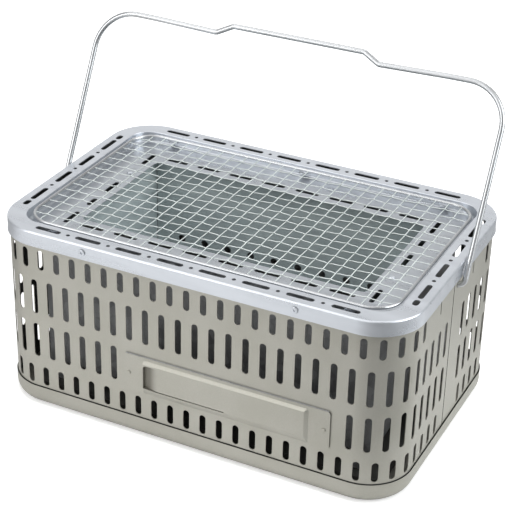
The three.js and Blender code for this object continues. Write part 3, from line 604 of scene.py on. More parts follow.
def casingCutters(hasDrawer):
    blocks, cut = [], grill["cut"]
    for name, (height, length, shift, clear) in casing["rows"].items():
        index = np.arange(-20, 21)
        place, out = casingStations((index + shift) * grill["slotPitch"])
        keep = place[:, 1] + casing["slotWidth"] / 2 <= -clear
        if name == "third" and hasDrawer:
            keep &= np.abs(place[:, 0] - grill["drawerX"]) > casing["drawerClear"]
        place, out = place[keep] + height * zAxis, out[keep]
        shape = obround(casing["slotWidth"], length)
        blocks.append(prisms(place, np.cross(zAxis, out), zAxis, out, shape, cut))
    sides = np.array([-1, 1])
    width, length, away, height = casing["tabSlit"]
    pivots = toPoints(sides * grill["casingHalfX"], 0, grill["pivot"])
    slits = toPoints(sides * grill["casingHalfX"], -away, height)
    screws = toPoints(sides * grill["screwX"], -grill["casingHalfY"], grill["screwZ"])
    blocks += [
        prisms(pivots, yAxis, zAxis, xAxis, circle(casing["bailHole"]), cut),
        prisms(slits, yAxis, zAxis, xAxis, obround(width, length, steps=4), cut),
        prisms(screws, xAxis, zAxis, yAxis, circle(grill["screwHole"], 12), cut),
    ]
    if hasDrawer:
        half, low, high = casing["opening"]
        square = [(-half, low), (half, low), (half, high), (-half, high)]
        middle = [[grill["drawerX"], -grill["casingHalfY"], 0]]
        blocks.append(prisms(middle, xAxis, zAxis, yAxis, square, cut))
    return blocks


def casingPath(inset, stepped):
    # the U seen from above: lapped end, corner arc, front, corner arc, lapped end
    halfX, corner, lap = grill["casingHalfX"], grill["casingCorner"], casing["lapHalf"]
    ends = [(halfX, lap)]
    if stepped:
        foot, step = -lap - grill["gap"], casing["lapStep"]
        ends = [(halfX - step, lap), (halfX - step, foot), (halfX, foot - step)]
    ends = np.array(ends, float) - (inset, 0)
    turn = np.linspace(0, np.pi / 2, 25)
    arcX = halfX - corner + (corner - inset) * np.sin(turn)
    arcY = -grill["casingHalfY"] + corner - (corner - inset) * np.cos(turn)
    right = np.concatenate([np.stack([arcX, arcY], axis=1), ends[::-1]])
    return np.concatenate([right[::-1] * (-1, 1), right])


def bareFaces(piece):
    # faces that get the dark sheet: those that look inwards, towards the rectangle of the corners' centres,
    # and those inside the pan, as painted shade, and the cut ends of the sheet at the lap, as bare steel
    middle = readVectors(piece.data.polygons, "center") / mm
    normal = readVectors(piece.data.polygons, "normal")[:, :2]
    middle, height = middle[:, :2], middle[:, 2]
    core = np.array([grill["casingHalfX"], grill["casingHalfY"]]) - grill["casingCorner"]
    out = middle - np.clip(middle, -core, core)
    facing = (out * normal).sum(1) / np.maximum(np.linalg.norm(out, axis=1), 1e-6)
    inside, square, margin = casing["bare"]
    atEnd = np.abs(np.abs(middle[:, 1]) - casing["lapHalf"]) < margin
    cutEnd = (np.abs(normal[:, 1]) > square) & atEnd
    return (facing < -inside) | (height < casing["foot"][1]) | cutEnd


def makeCasing(name, hasDrawer):
    # long edges of a bent strip: up the outside, with a step at the pan's edge, and down the inside
    low, high, step = casing["foot"]
    sheet, bottom, top = grill["sheet"], casing["bottom"], casing["top"]
    edges = ((step, bottom), (step, low), (0, high), (0, top),
             (sheet, top), (sheet, high), (sheet + step, low), (sheet + step, bottom))
    points = np.stack([toPoints(*casingPath(inset, hasDrawer).T, z) for inset, z in edges])
    count = points.shape[1]
    ends = np.arange(len(edges))[None] * count
    faces = [gridFaces(len(edges), count, closeRows=True), ends, ends + count - 1]
    wall = newPiece(name, points, faces)
    cutAway(wall, casingCutters(hasDrawer))
    if not hasDrawer:
        wall.data.transform(Matrix.Rotation(math.pi, 4, "Z"))
    dress(wall, paint, "body", [name])
    # dark sheet colour: painted shade on the inside and in the gap inside the pan, bare steel at the cut
    # ends
    secondMaterial(wall, bareOrShadeSheet, bareFaces(wall))


makeCasing("casing_front", True)
makeCasing("casing_back", False)
print("casing ready")

# Base pan
pan = {
    "height": 19.7,
    "round": 10,
    "bendSteps": 10,
    "edge": 0.15,
    "thinned": 0.5,
    "flare": 0.1,
    "edgeDepths": (2.5, 3, 4),  # below the edge: start of the flare, start and end of the thinning
}


def makePan():
    # outer loops up from the flat underside, over the top edge and down the inside
    sheet, edge, beyond = grill["sheet"], pan["edge"], grill["gap"] + grill["sheet"]
    flat = np.array([grill["casingHalfX"], grill["casingHalfY"], grill["casingCorner"], 0])
    outer = flat + outward * beyond
    inner = outer + inward * sheet
    top = pan["height"] * upward
    flare = outward * pan["flare"]
    thinned = inner + outward * pan["thinned"] + flare
    flareFrom, thinFrom, thinTo = (top + depth * downward for depth in pan["edgeDepths"])
    sections = profile(
        (outer, inward, upward, pan["round"], pan["bendSteps"]),
        outer + flareFrom,
        (outer + flare + top, downward, inward, edge, 2),
        (thinned + top, outward, downward, edge, 2),
        thinned + thinFrom, inner + thinTo,
        (inner + sheet * upward, upward, inward, pan["round"] - sheet, pan["bendSteps"]),
    )
    dress(newShell("base_pan", loops(sections, arcSteps=24)), paint, "body", ["base_pan"])


makePan()
print("pan ready")

# Rim
rim = {
    "half": (196.2, 126.7),
    "corner": 43.2,
    "skirtBottom": 165.2,
    "round": 1.7,
    "hem": (0.3, 1.3),  # how far the skirt's lower edge stands out, and how high
    "hemRound": 0.3,
    "wellCorner": 20,
    "lipRound": 0.6,
    "floorRound": 2.5,
    "mouthCorner": 4,
    "mouthRound": 0.35,
    "ringLine": 8.3,
    "ringSlot": (5, 25),
    "ringPitch": 40,
    "ringCounts": (8, 4),
    "dot": 1.8,
    "endSlot": (5.5, 9.5, 80),
    "floorLine": 9.8,
    "floorSlot": (4.4, 23.5),
    "floorShort": 14.5,
    "floorPitch": 34.4,
    "floorCounts": (8, 5),
    "rivetHole": 1.9,
    "restX": (-140, 0, 140),
    "restSize": (10, 6.9, 3),
    "restSquare": 2.6,  # the higher this power, the squarer the rest
    "restTop": 175.2,
    "restShift": 0.4,
    "mask": (1, 1, 5),  # the well's: margin, start below the ring and length of the fade
}


def rimSections():
    # the pressed sheet in one closed line: skirt, ring, well, floor, and back along the underside
    sheet = grill["sheet"]
    hem, hemHeight = rim["hem"]
    edge = np.array([*rim["half"], rim["corner"], 0])
    skirt = edge + inward * hem
    well = np.array([grill["wellHalfX"], grill["wellHalfY"], rim["wellCorner"], 0])
    mouth = np.array([grill["mouthHalfX"], grill["mouthHalfY"], rim["mouthCorner"], 0])
    low, top, floor = (z * upward for z in (rim["skirtBottom"], grill["top"], grill["wellFloor"]))
    under = -sheet * upward
    wallBack, skirtBack = well + outward * sheet, skirt + inward * sheet
    return profile(
        (edge + low, inward, upward, rim["hemRound"], 2),
        edge + low + (hemHeight - hem) * upward, skirt + low + (hemHeight + hem) * upward,
        (skirt + top, downward, inward, rim["round"], 7),
        (well + top, outward, downward, rim["lipRound"], 6),
        (well + floor, upward, inward, rim["floorRound"], 6),
        (mouth + floor, outward, downward, rim["mouthRound"], 2),
        mouth + floor + under,
        (wallBack + floor + under, inward, upward, rim["floorRound"] + sheet, 6),
        (wallBack + top + under, downward, outward, rim["lipRound"] - sheet, 3),
        (skirtBack + top + under, inward, downward, rim["round"] - sheet, 5),
        skirtBack + low,
    )


def rimCutters():
    blocks = []
    lines = grill["casingHalfX"] - rim["ringLine"], grill["casingHalfY"] - rim["ringLine"]
    floorLines = grill["mouthHalfX"] + rim["floorLine"], grill["mouthHalfY"] + rim["floorLine"]

    def cut(x, y, height, shape, alongX=False):
        places = np.atleast_2d(toPoints(x, y, height))
        across, along = (yAxis, xAxis) if alongX else (xAxis, yAxis)
        blocks.append(prisms(places, across, along, zAxis, shape, grill["thinCut"]))

    longX, longY = (centred(count, rim["ringPitch"]) for count in rim["ringCounts"])
    dotX, dotY = (centred(count - 1, rim["ringPitch"]) for count in rim["ringCounts"])
    floorX, floorY = (centred(count, rim["floorPitch"]) for count in rim["floorCounts"])
    ring, deck, dot = obround(*rim["ringSlot"]), obround(*rim["floorSlot"]), circle(rim["dot"], 16)
    short = obround(rim["floorSlot"][0], rim["floorShort"])
    endWidth, endLength, endY = rim["endSlot"]
    top, floor = grill["top"], grill["wellFloor"]
    for side in (-1, 1):
        cut(longX, side * lines[1], top, ring, alongX=True)
        cut(dotX, side * lines[1], top, dot, alongX=True)
        cut(side * lines[0], longY, top, ring)
        cut(side * lines[0], dotY, top, dot)
        cut(side * lines[0], [-endY, endY], top, obround(endWidth, endLength))
        cut(floorX, side * floorLines[1], floor, deck, alongX=True)
        sideSlots = [y for y in floorY if abs(abs(y) - rim["floorPitch"]) > 1]
        cut(side * floorLines[0], sideSlots, floor, deck)
        rivetY = -side * rim["floorPitch"]
        cut(side * floorLines[0], -rivetY, floor, short)
        cut(side * floorLines[0], rivetY, floor, circle(rim["rivetHole"], 16))
        screwX, shape = np.array([-1, 1]) * grill["screwX"], circle(grill["screwHole"], 12)
        screws = toPoints(screwX, side * rim["half"][1], grill["screwZ"])
        blocks.append(prisms(screws, xAxis, zAxis, yAxis, shape, grill["thinCut"]))
    return blocks


def netRests():
    # pressed pads on the well's long walls: a ball squared off by a power each way
    rows, columns = 10, 24
    tilt = np.linspace(-np.pi / 2, np.pi / 2, rows + 2)[1:-1, None]
    turn = around(columns)
    ball = toPoints(np.cos(tilt) * np.cos(turn), np.cos(tilt) * np.sin(turn), np.sin(tilt))
    length, depth, height = rim["restSize"]
    squared = np.sign(ball) * np.abs(ball) ** (2 / rim["restSquare"])
    pad = squared * (length / 2, depth, height / 2)
    y, z = grill["wellHalfY"] + rim["restShift"], rim["restTop"] - height / 2
    pads = [pad + (x, side * y, z) for side in (-1, 1) for x in rim["restX"]]
    return newPiece("pads", *shells(np.stack(pads)))


def makeRim():
    points = loops(rimSections(), arcSteps=24)
    faces = gridFaces(*points.shape[:2], closeRows=True, closeColumns=True)
    pressed = newPiece("top_rim", points, [faces])
    combine(pressed, netRests(), "UNION")
    cutAway(pressed, rimCutters())
    # the mask of the painted shade: 1 on the well's floor and wall, falling to 0 in the last millimetres
    # below the ring
    x, y, z = readVectors(pressed.data.vertices, "co").T / mm
    margin, start, fade = rim["mask"]
    inside = (np.abs(x) < grill["wellHalfX"] + margin) & (np.abs(y) < grill["wellHalfY"] + margin)
    writeMask(pressed, "well", inside * np.clip((grill["top"] - start - z) / fade, 0, 1))
    dress(pressed, rimPlate, "body", ["top_rim"])


makeRim()
print("rim ready")

# Firebox walls and grate
firebox = {
    "half": (140, 73),
    "bottom": 74.1,
    "top": 167.6,
    "ledge": 6,
    "airHole": 3.8,
    "airHoles": 10,
    "airPitch": 25,
    "airHeight": 89.5,
    "facing": 0.7,  # how squarely the outside faces out
}
grate = {
    "half": (134, 64.5),
    "corner": 5,
    "border": 4.4,
    "bottom": 76.3,
    "top": 83.5,
    "round": 2,
    "sheet": 1.2,
    "slot": (8, 46),
    "count": 13,
    "pitch": 19,
    "rowY": 28,
}


def makeFireboxWall(name, side):
    # the wall's L-shaped section, carried along its length
    halfX, halfY = firebox["half"]
    sheet, low, top, ledge = grill["sheet"], firebox["bottom"], firebox["top"], firebox["ledge"]
    section = np.array(
        [(halfY - ledge, low), (halfY + sheet, low), (halfY + sheet, top), (halfY, top),
         (halfY, low + sheet), (halfY - ledge, low + sheet)]
    )
    ends = np.array([[-1], [1]]) * (halfX - grill["gap"])
    wall = newShell(name, toPoints(ends, side * section[:, 0], section[:, 1]))
    x = centred(firebox["airHoles"], firebox["airPitch"])
    holes, shape = toPoints(x, side * halfY, firebox["airHeight"]), circle(firebox["airHole"])
    cutAway(wall, [prisms(holes, xAxis, zAxis, yAxis, shape, grill["thinCut"])])
    dress(wall, fireSteel, "body", [name])
    # painted shade: the outside, in the dark gap between the firebox and the shield, gets the dark sheet
    # colour
    facing = readVectors(wall.data.polygons, "normal")[:, 1] * side
    secondMaterial(wall, paintedShadeSheet, facing > firebox["facing"])


def makeGrate():
    # an upturned tray with a rounded edge: up the outside, and the same line one sheet inside
    edge = np.array([*grate["half"], grate["corner"], 0])
    low, top, sheet = grate["bottom"] * upward, grate["top"] * upward, grate["sheet"]
    middle, inner = edge + inward * grate["border"], edge + inward * sheet
    under = top + sheet * downward
    sections = profile(
        middle + top,
        (edge + top, inward, downward, grate["round"], 5),
        edge + low, inner + low,
        (inner + under, downward, inward, grate["round"] - sheet, 3),
        middle + under,
    )
    tray = newShell("fire_grate", loops(sections, arcSteps=8))
    x, y = np.meshgrid(centred(grate["count"], grate["pitch"]), [-grate["rowY"], grate["rowY"]])
    places = toPoints(x, y, grate["top"]).reshape(-1, 3)
    cutAway(tray, [prisms(places, xAxis, yAxis, zAxis, obround(*grate["slot"]), grill["thinCut"])])
    dress(tray, grateEnamel, "grate", ["fire_grate"])


makeFireboxWall("firebox_front", -1)
makeFireboxWall("firebox_back", 1)
makeGrate()
print("firebox ready")

# Drawer front
drawer = {
    "half": 98.1,
    "low": 46.5,
    "high": 84.0,
    "corner": 3,
    "face": 126,
    "paintedEdge": 0.65,  # how much of the way over the sheet's edge the paint goes; the rest is dark, painted shade for the gap behind the plate
    "pull": (-41.4, 116.0, 48.0, 81.3),  # left, right, bottom and top of the pressed pull
    "pullDepth": 2.7,
    "edges": (0.5, 3.0, 2.2),  # how wide its sloping edges are: left, right, top
    "bulge": 1.1,  # 1 is a straight slope, and more is a rounder one
    "lowerSlope": (6.5, 0.7),  # height of the slope at the bottom, and its power
    "scoop": (-40.6, -25, 54.6, 77.6),  # the hollow for a finger: left, right, bottom, top
    "scoopCorner": 3.5,
    "scoopEdges": (0.35, 0.4, 0.3, 0.5),  # left edge, level stretch, bottom edge and top edge
    "scoopFloor": 0.1,  # height of its deepest part above the plate
    "paintedShade": (1.5, 0.5),  # painted shade in the finger hollow: how strong, and how far below the hollow it goes
    "slit": (-38.5, 38.5, 54.3, 0.46, 2.5),  # from, to, height, half width and depth
    "slitEdges": (0.5, 1.2),  # as a share of the half width, and in mm at its ends
}


def ramped(value):
    return np.clip(value, 0, 1)


def drawerHeight(x, z):
    # a pressed box: depth times 1 - sunk^bulge, where sunk grows from 0 to 1 across its edge
    left, right, bottom, top = drawer["pull"]
    wideLeft, wideRight, wideTop = drawer["edges"]
    fromSide = np.minimum((x - left) / wideLeft, (right - x) / wideRight)
    sunk = np.hypot(1 - ramped(fromSide), 1 - ramped((top - z) / wideTop))
    slope, power = drawer["lowerSlope"]
    rise = ramped((z - bottom) / slope) ** power
    return drawer["pullDepth"] * np.minimum(1 - ramped(sunk) ** drawer["bulge"], rise)


def scoopShare(x, z, lowered=0):
    # 1 over a level stretch at the hollow's left wall, then falling in an S to 0 at its right end,
    # and falling straight to 0 over its left, bottom and top edges
    left, right, bottom, top = drawer["scoop"]
    wideLeft, level, wideBottom, wideTop = drawer["scoopEdges"]
    corner = drawer["scoopCorner"]
    fall = ramped((right - x) / (right - left - level))
    across = fall * fall * (3 - 2 * fall) * ramped((x - left) / wideLeft)
    inCorner = np.clip(corner - (x - left), 0, corner)
    sunk = corner - np.sqrt(corner**2 - inCorner**2)
    fromTop, fromBottom = top - sunk - z, z - (bottom - lowered)
    return across * ramped(fromTop / wideTop) * ramped(fromBottom / wideBottom)


def drawerLines():
    # the grid's columns and rows, which crowd at the bends, the slit and the corners
    left, right, bottom, top = drawer["pull"]
    start, end, slitZ = drawer["slit"][:3]
    first, last = grill["drawerX"] - drawer["half"], grill["drawerX"] + drawer["half"]
    low, high = drawer["low"], drawer["high"]
    nearEnd, nearSlit = np.array([-0.1, 0, 0.6, 1.2, 1.5]), np.array([0, 0.27, 0.4, 0.55, 0.6])
    nearEdge = np.linspace(0, 3, 6)
    columns = np.concatenate([
        np.linspace(first, last, 40), np.linspace(left - 0.1, left + 4, 42),
        np.linspace(left + 4.3, left + 17, 36), right + 0.1 - np.linspace(0, 1, 24) ** 1.6 * 3.5,
        start + nearEnd, end - nearEnd, first + nearEdge, last - nearEdge,
    ])
    rows = np.concatenate([
        np.linspace(low, high, 20), np.linspace(bottom - 0.6, bottom + 11, 24),
        top + 0.1 - np.linspace(0, 1, 44) ** 1.4 * 7.5,
        slitZ - nearSlit, slitZ + nearSlit, low + nearEdge, high - nearEdge,
    ])
    return np.unique(columns.round(3)), np.unique(rows.round(3))


def roundCorners(x, z):
    # draws the grid's square corners in to arcs
    middleX, middleZ = grill["drawerX"], (drawer["low"] + drawer["high"]) / 2
    halfZ, corner = (drawer["high"] - drawer["low"]) / 2, drawer["corner"]
    intoX = np.clip(np.abs(x - middleX) - (drawer["half"] - corner), 0, None)
    intoZ = np.clip(np.abs(z - middleZ) - (halfZ - corner), 0, None)
    square = np.maximum(intoX, intoZ) / np.maximum(np.hypot(intoX, intoZ), 1e-9)
    pulled = np.where((intoX > 0) & (intoZ > 0), 1 - square, 0)
    return x - np.sign(x - middleX) * intoX * pulled, z - np.sign(z - middleZ) * intoZ * pulled


def makeDrawerFront():
    # a height above the plate at every point of the grid, and the same grid one sheet behind
    columns, rows = drawerLines()
    x, z = np.meshgrid(columns, rows)
    height = drawerHeight(x, z)
    height -= np.clip(height - drawer["scoopFloor"], 0, None) * scoopShare(x, z)
    start, end, middle, half, depth = drawer["slit"]
    wideAcross, wideAlong = drawer["slitEdges"]
    cut = ramped((half - np.abs(z - middle)) / (half * wideAcross))
    cut = cut * ramped(np.minimum(x - start, end - x) / wideAlong)
    height -= depth * cut
    # painted shade: the colour darkens over the finger hollow and along the slit
    strength, lowered = drawer["paintedShade"]
    shadeShare = ramped(np.maximum(strength * scoopShare(x, z, lowered), cut)).ravel()
    x, z = roundCorners(x, z)
    front = toPoints(x, -drawer["face"] - height, z).reshape(-1, 3)
    back = front + grill["sheet"] * yAxis
    count = x.size
    sheetFaces = gridFaces(len(rows), len(columns))
    numbers = np.arange(count).reshape(x.shape)
    border = np.concatenate([numbers[0], numbers[1:, -1], numbers[-1, -2::-1], numbers[-2:0:-1, 0]])
    inner = 2 * count + np.arange(len(border))
    nextBorder, nextInner = np.roll(border, -1), np.roll(inner, -1)
    painted = np.stack([border, nextBorder, nextInner, inner], axis=1)
    edge = np.stack([inner, nextInner, nextBorder + count, border + count], axis=1)
    innerPoints = front[border] + drawer["paintedEdge"] * (back - front)[border]
    points = np.concatenate([front, back, innerPoints])
    faces = [sheetFaces, painted, sheetFaces[:, ::-1] + count, edge]
    plate = newPiece("drawer_front", points, faces)
    writeMask(plate, "shadeMask", np.pad(shadeShare, (0, count + len(border))))
    dress(plate, drawerPaint, "drawer", ["drawer_front"], sharp=40)
    # the back and the rear of the edge get the dark sheet: painted shade in the gap behind the plate's edge
    bare = np.arange(len(plate.data.polygons)) >= len(sheetFaces) + len(painted)
    secondMaterial(plate, bareOrShadeSheet, bare)


makeDrawerFront()
print("drawer front ready")


# Wires
def tubes(paths, planeNormal, radius, sides, closed=False):
    # a circle carried along each path: point + r(cos a side + sin a plane normal)
    paths = np.array(paths, float)
    if closed:
        tangent = np.roll(paths, -1, axis=1) - np.roll(paths, 1, axis=1)
    else:
        tangent = np.gradient(paths, axis=1)
    tangent /= np.linalg.norm(tangent, axis=2, keepdims=True)
    normal = np.broadcast_to(np.array(planeNormal, float), paths.shape)
    side = np.cross(normal, tangent)
    turn = around(sides)[:, None]
    ring = np.cos(turn) * side[:, :, None] + np.sin(turn) * normal[:, :, None]
    return shells(paths[:, :, None] + radius * ring, closed)


def filletPath(corners, radii, steps=10):
    # a line through corners with a circular arc of the given radius at each inner one
    path = [np.array(corners[0], float)]
    for before, at, after, radius in zip(corners, corners[1:], corners[2:], radii):
        before, at, after = (np.array(point, float) for point in (before, at, after))
        arrive, leave = before - at, after - at
        arrive, leave = arrive / np.linalg.norm(arrive), leave / np.linalg.norm(leave)
        half = math.acos(float(np.clip(arrive @ leave, -1, 1))) / 2
        middle = (arrive + leave) / np.linalg.norm(arrive + leave)
        centre = at + middle * radius / math.sin(half)
        start, end = at + arrive * radius / math.tan(half), at + leave * radius / math.tan(half)
        spread = math.pi - 2 * half
        share = np.linspace(0, 1, steps + 1)[:, None]
        first, last = start - centre, end - centre
        arc = np.sin((1 - share) * spread) * first + np.sin(share * spread) * last
        path += list(centre + arc / math.sin(spread))
    path.append(np.array(corners[-1], float))
    return np.array(path)


# Net
net = {
    "height": 177.5,
    "frameHalf": (173.4, 103.4),
    "frameCorner": 24,
    "frameWire": 1.5,
    "wire": 0.5,
    "pitch": 12.75,
    "cross": 26,
    "long": 15,
    "longWave": 0.7,
    "crossWave": 0.35,
    "crimp": 5,  # the higher this power, the shorter the bend at each crossing
    "stepsInPitch": 12,
    "sides": 6,
}


def wireReach(place, halfAcross, halfAlong):
    # how far a wire goes before it meets the middle of the frame wire, also in its rounded corners
    corner = net["frameCorner"]
    into = np.clip(np.abs(place) - (halfAcross - corner), 0, corner)
    return halfAlong - corner + np.sqrt(corner**2 - into**2)


def wovenWires(places, halfAcross, halfAlong, crossings, wave, start):
    # each wire goes over and under the ones that it crosses: wave cos^n(pi (along - first) / pitch)
    reach = wireReach(places, halfAcross, halfAlong)[:, None]
    steps = (len(crossings) + 1) * net["stepsInPitch"]
    along = np.linspace(-1, 1, steps + 1)[None] * reach
    sign = (-1.0) ** np.arange(len(places))[:, None]
    phase = np.pi * (along - crossings[0]) / net["pitch"]
    fade = np.clip((reach - np.abs(along)) / net["pitch"] * 2, 0, 1)
    return along, net["height"] + start * sign * wave * np.cos(phase) ** net["crimp"] * fade


def makeNet():
    halfX, halfY = net["frameHalf"]
    crossX, longY = centred(net["cross"], net["pitch"]), centred(net["long"], net["pitch"])
    x, height = wovenWires(longY, halfY, halfX, crossX, net["longWave"], 1)
    longWires = tubes(toPoints(x, longY[:, None], height), yAxis, net["wire"], net["sides"])
    y, height = wovenWires(crossX, halfX, halfY, longY, net["crossWave"], -1)
    crossWires = tubes(toPoints(crossX[:, None], y, height), xAxis, net["wire"], net["sides"])
    mesh = newPiece("net_mesh", *joined([longWires, crossWires]))
    dress(mesh, netWire, "net", ["net_mesh"], sharp=70)
    ring = loops([[halfX, halfY, net["frameCorner"], net["height"]]], arcSteps=16, sideSteps=8)
    wire = newPiece("net_frame", *tubes(ring, zAxis, net["frameWire"], 16, closed=True))
    dress(wire, bailWire, "net", ["net_frame"], sharp=70)


makeNet()
print("net ready")

# Bail
bail = {
    "wire": 2.5,
    "sides": 20,
    "lean": 27.7,
    "half": 199.2,
    "elbow": 6,
    "corner": 36,
    "bar": 170.8,
    "dip": 2,
    "gripRise": 8.2,
    "gripHalf": 64,
    "gripSlope": 15.5,
    "gripBend": 7,
    "inside": 176.8,
    "peen": (3.7, 1.5, 0.72, 0.3),  # flattened ends: radius, length, share of the radius at the edges, shift
    "shoulder": (20, 0.3, 200),  # where the bar starts past the corner, its drop and its bend
}


def leanBack(flat):
    # from the bail's own plane, across and up from the pivot, to its place in the room
    angle = math.radians(bail["lean"])
    x, away, up = flat[..., 0], flat[..., 1], flat[..., 2]
    y = up * math.sin(angle) + away * math.cos(angle)
    return toPoints(x, y, grill["pivot"] + up * math.cos(angle) - away * math.sin(angle))


def bailEnds():
    radius, length, narrow, shift = bail["peen"]
    turn = around(bail["sides"])
    radii = np.array([[narrow], [1], [1], [narrow]]) * radius
    along = np.array([[-0.5], [-0.25], [0.25], [0.5]]) * length
    middles = np.array([-1, 1])[:, None, None] * (bail["inside"] + shift)
    heads = toPoints(middles + along, radii * np.cos(turn), radii * np.sin(turn))
    return newPiece("heads", *shells(leanBack(heads)))


def makeBail():
    low = bail["bar"] - bail["dip"]
    high = low + bail["gripRise"]
    past, drop, sag = bail["shoulder"]
    right = [
        (bail["inside"], 0, 0), (bail["half"], 0, 0), (bail["half"], 0, bail["bar"]),
        (bail["half"] - bail["corner"] - past, 0, bail["bar"] - drop),
        (bail["gripHalf"] + bail["gripSlope"], 0, low), (bail["gripHalf"], 0, high),
    ]
    corners = right + [(-x, 0, up) for x, _, up in reversed(right)]
    radii = [bail["elbow"], bail["corner"], sag, bail["gripBend"], bail["gripBend"]]
    path = filletPath(corners, radii + radii[::-1], steps=12)
    points, faces = tubes([path], yAxis, bail["wire"], bail["sides"])
    wire = newPiece("bail_handle", leanBack(points), faces)
    combine(wire, bailEnds(), "UNION")
    dress(wire, bailWire, "bail", ["bail_handle"], sharp=50)


makeBail()
print("bail ready")

# Screws and rivets
fasteners = {
    "sides": 24,
    "domeAngles": (0.5, 8, 20, 35, 50, 65, 80),
    "screwHead": (3.1, 0.55),
    "screwShank": (1.8, 8),
    "screwSeat": 127,
    "spins": (18, 41, 7, 63),  # degrees that the four screws' crosses are turned
    "crossHalf": (0.38, 1.7),
    "crossLevels": ((0.5, 1.1), (-0.7, 0.55)),  # height from the head's top, and scale
    "rivetHead": (2.9, 1.1),
    "rivetLift": 0.3,
    "smallRivetHead": (1.9, 0.8),
    "rivetShank": (1.6, 2.4),
    "drawerSeat": (93, -0.4, -126.3, 65),  # distance from the drawer's middle, shift, depth, height
}


def turned(name, head, shank):
    # a flattened dome on a shank, turned about its axis: radius R cos^0.6 a, height H sin^0.8 a
    angle = np.radians(fasteners["domeAngles"])
    radius = np.concatenate([[shank[0], shank[0]], head[0] * np.cos(angle) ** 0.6])[:, None]
    height = np.concatenate([[-shank[1], 0], head[1] * np.sin(angle) ** 0.8])[:, None]
    turn = around(fasteners["sides"])
    return newShell(name, toPoints(radius * np.cos(turn), radius * np.sin(turn), height))


def crossCutter():
    # a plus sign that narrows with depth
    narrow, wide = fasteners["crossHalf"]
    arm = np.array([(narrow, narrow), (narrow, wide), (-narrow, wide)])
    plus = np.concatenate([arm, arm[:, ::-1] * (-1, 1), -arm, arm[:, ::-1] * (1, -1)])
    top, levels = fasteners["screwHead"][1], fasteners["crossLevels"]
    points = [toPoints(*(plus * scale).T, top + z) for z, scale in levels]
    return newShell("cutter", np.stack(points))


def placeFastener(piece, seat, tilt, spin, node, bodyName, material):
    turn = Matrix.Rotation(math.radians(tilt), 4, "X") @ Matrix.Rotation(math.radians(spin), 4, "Z")
    piece.data.transform(Matrix.Translation([value * mm for value in seat]) @ turn)
    dress(piece, material, bodyName, [node])


sideNames = {-1: "left", 1: "right"}
corners = [(-1, -1), (1, -1), (-1, 1), (1, 1)]
for (sideX, sideY), spin in zip(corners, fasteners["spins"]):
    label = "rim_screw_" + ("front_" if sideY < 0 else "back_") + sideNames[sideX]
    screw = turned(label, fasteners["screwHead"], fasteners["screwShank"])
    combine(screw, crossCutter(), "DIFFERENCE")
    seat = (sideX * grill["screwX"], sideY * fasteners["screwSeat"], grill["screwZ"])
    placeFastener(screw, seat, -90 * sideY, spin, label, "body", rimPlate)
for side, label in sideNames.items():
    rivet = turned("firebox_rivet_" + label, fasteners["rivetHead"], fasteners["rivetShank"])
    seat = (side * (grill["mouthHalfX"] + rim["floorLine"]), -side * rim["floorPitch"],
            grill["wellFloor"] + fasteners["rivetLift"])
    placeFastener(rivet, seat, 0, 0, "firebox_rivet_" + label, "body", rimPlate)
    rivet = turned("drawer_rivet_" + label, fasteners["smallRivetHead"], fasteners["rivetShank"])
    away, shift, depth, height = fasteners["drawerSeat"]
    seat = (grill["drawerX"] + side * away + shift, depth, height)
    placeFastener(rivet, seat, 90, 0, "drawer_rivet_" + label, "drawer", paint)
print("fasteners ready")

# Solids that stay, with their finishes
kept = (
    # painted shade: the bottom plate, seen through the lowest slots, is dark in place of the shade inside
    # the pan
    (paintedShadeSheet, ("bottom_plate",)),
    (fireSteel, ("firebox_left", "firebox_right", "firebox_floor")),
    (zincSheet, ("shield_front", "shield_back", "shield_left", "shield_right",
                 "runner_left", "runner_right", "drawer_tray")),
    # painted shade: the brackets, seen through a ring slot, are dark in place of the shade under the rim
    (bareOrShadeSheet, ("bracket_left", "bracket_right")),
    (bailWire, ("bail_washer_left", "bail_washer_right")),
)
for material, names in kept:
    for name in names:
        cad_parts[name].material_slots[0].material = material
print("kept solids dressed")

# Floor, room and lamps
room = {
    "floorHalf": 4,
    "floorHeight": -0.3,
    "floorColour": (230, 230, 230),
    "floorRoughness": 0.9,
    "floorGlow": (0.5, 1.0),  # near the object and far from it, where no lamp reaches
    "glowReach": (0.5, 1.6),  # metres over which it grows
    "aimHeight": 0.1,  # metres, the point of the grill's axis that the lamps aim at
    "ambient": 0.5,
    "gloss": 0.95,
    "tones": (  # how bright the room is by compass, in degrees from the front to the right
        (-180, 0.92), (-112, 0.88), (-100, 0.45), (-78, 0.5), (-62, 0.9), (-28, 0.96), (2, 0.84),
        (16, 0.56), (31, 0.33), (46, 0.27), (58, 0.32), (68, 0.38), (82, 0.48), (98, 0.6),
        (112, 0.75), (128, 0.54), (145, 0.42), (160, 0.5), (174, 0.8), (180, 0.92),
    ),
    "near": (0.17, 0.34, 1.04),  # start and end in metres of the change to the room's tone, own tone
    "heights": (  # and how bright by height, as the sine of the elevation
        (-0.1, 1.0), (0.1, 0.98), (0.4, 1.25), (0.46, 0.88), (0.51, 0.5), (0.62, 0.5),
        (0.74, 1.15), (0.78, 2.8), (0.88, 2.8), (0.94, 1.25), (0.98, 0.9), (1.0, 0.85),
    ),
}
lamps = {  # place, size, power in watts, tint and whether metal mirrors it
    "front": ((-0.9, -1.4, 0.9), 1.0, 6, (1, 1, 1), True),
    "right": ((1.5, 0.1, 0.95), 1.5, 19, (0.94, 0.98, 1), True),
    "top": ((0.15, -0.2, 1.9), 1.1, 28, (1, 1, 1), False),
}


def ramp(tree, value, stops):
    node = addNode(tree, "ShaderNodeValToRGB", Fac=value)
    for index, (place, tone) in enumerate(stops):
        stop = node.color_ramp.elements[index] if index < 2 else node.color_ramp.elements.new(1)
        stop.position, stop.color = place, (tone, tone, tone, 1)
    return node.outputs[0]


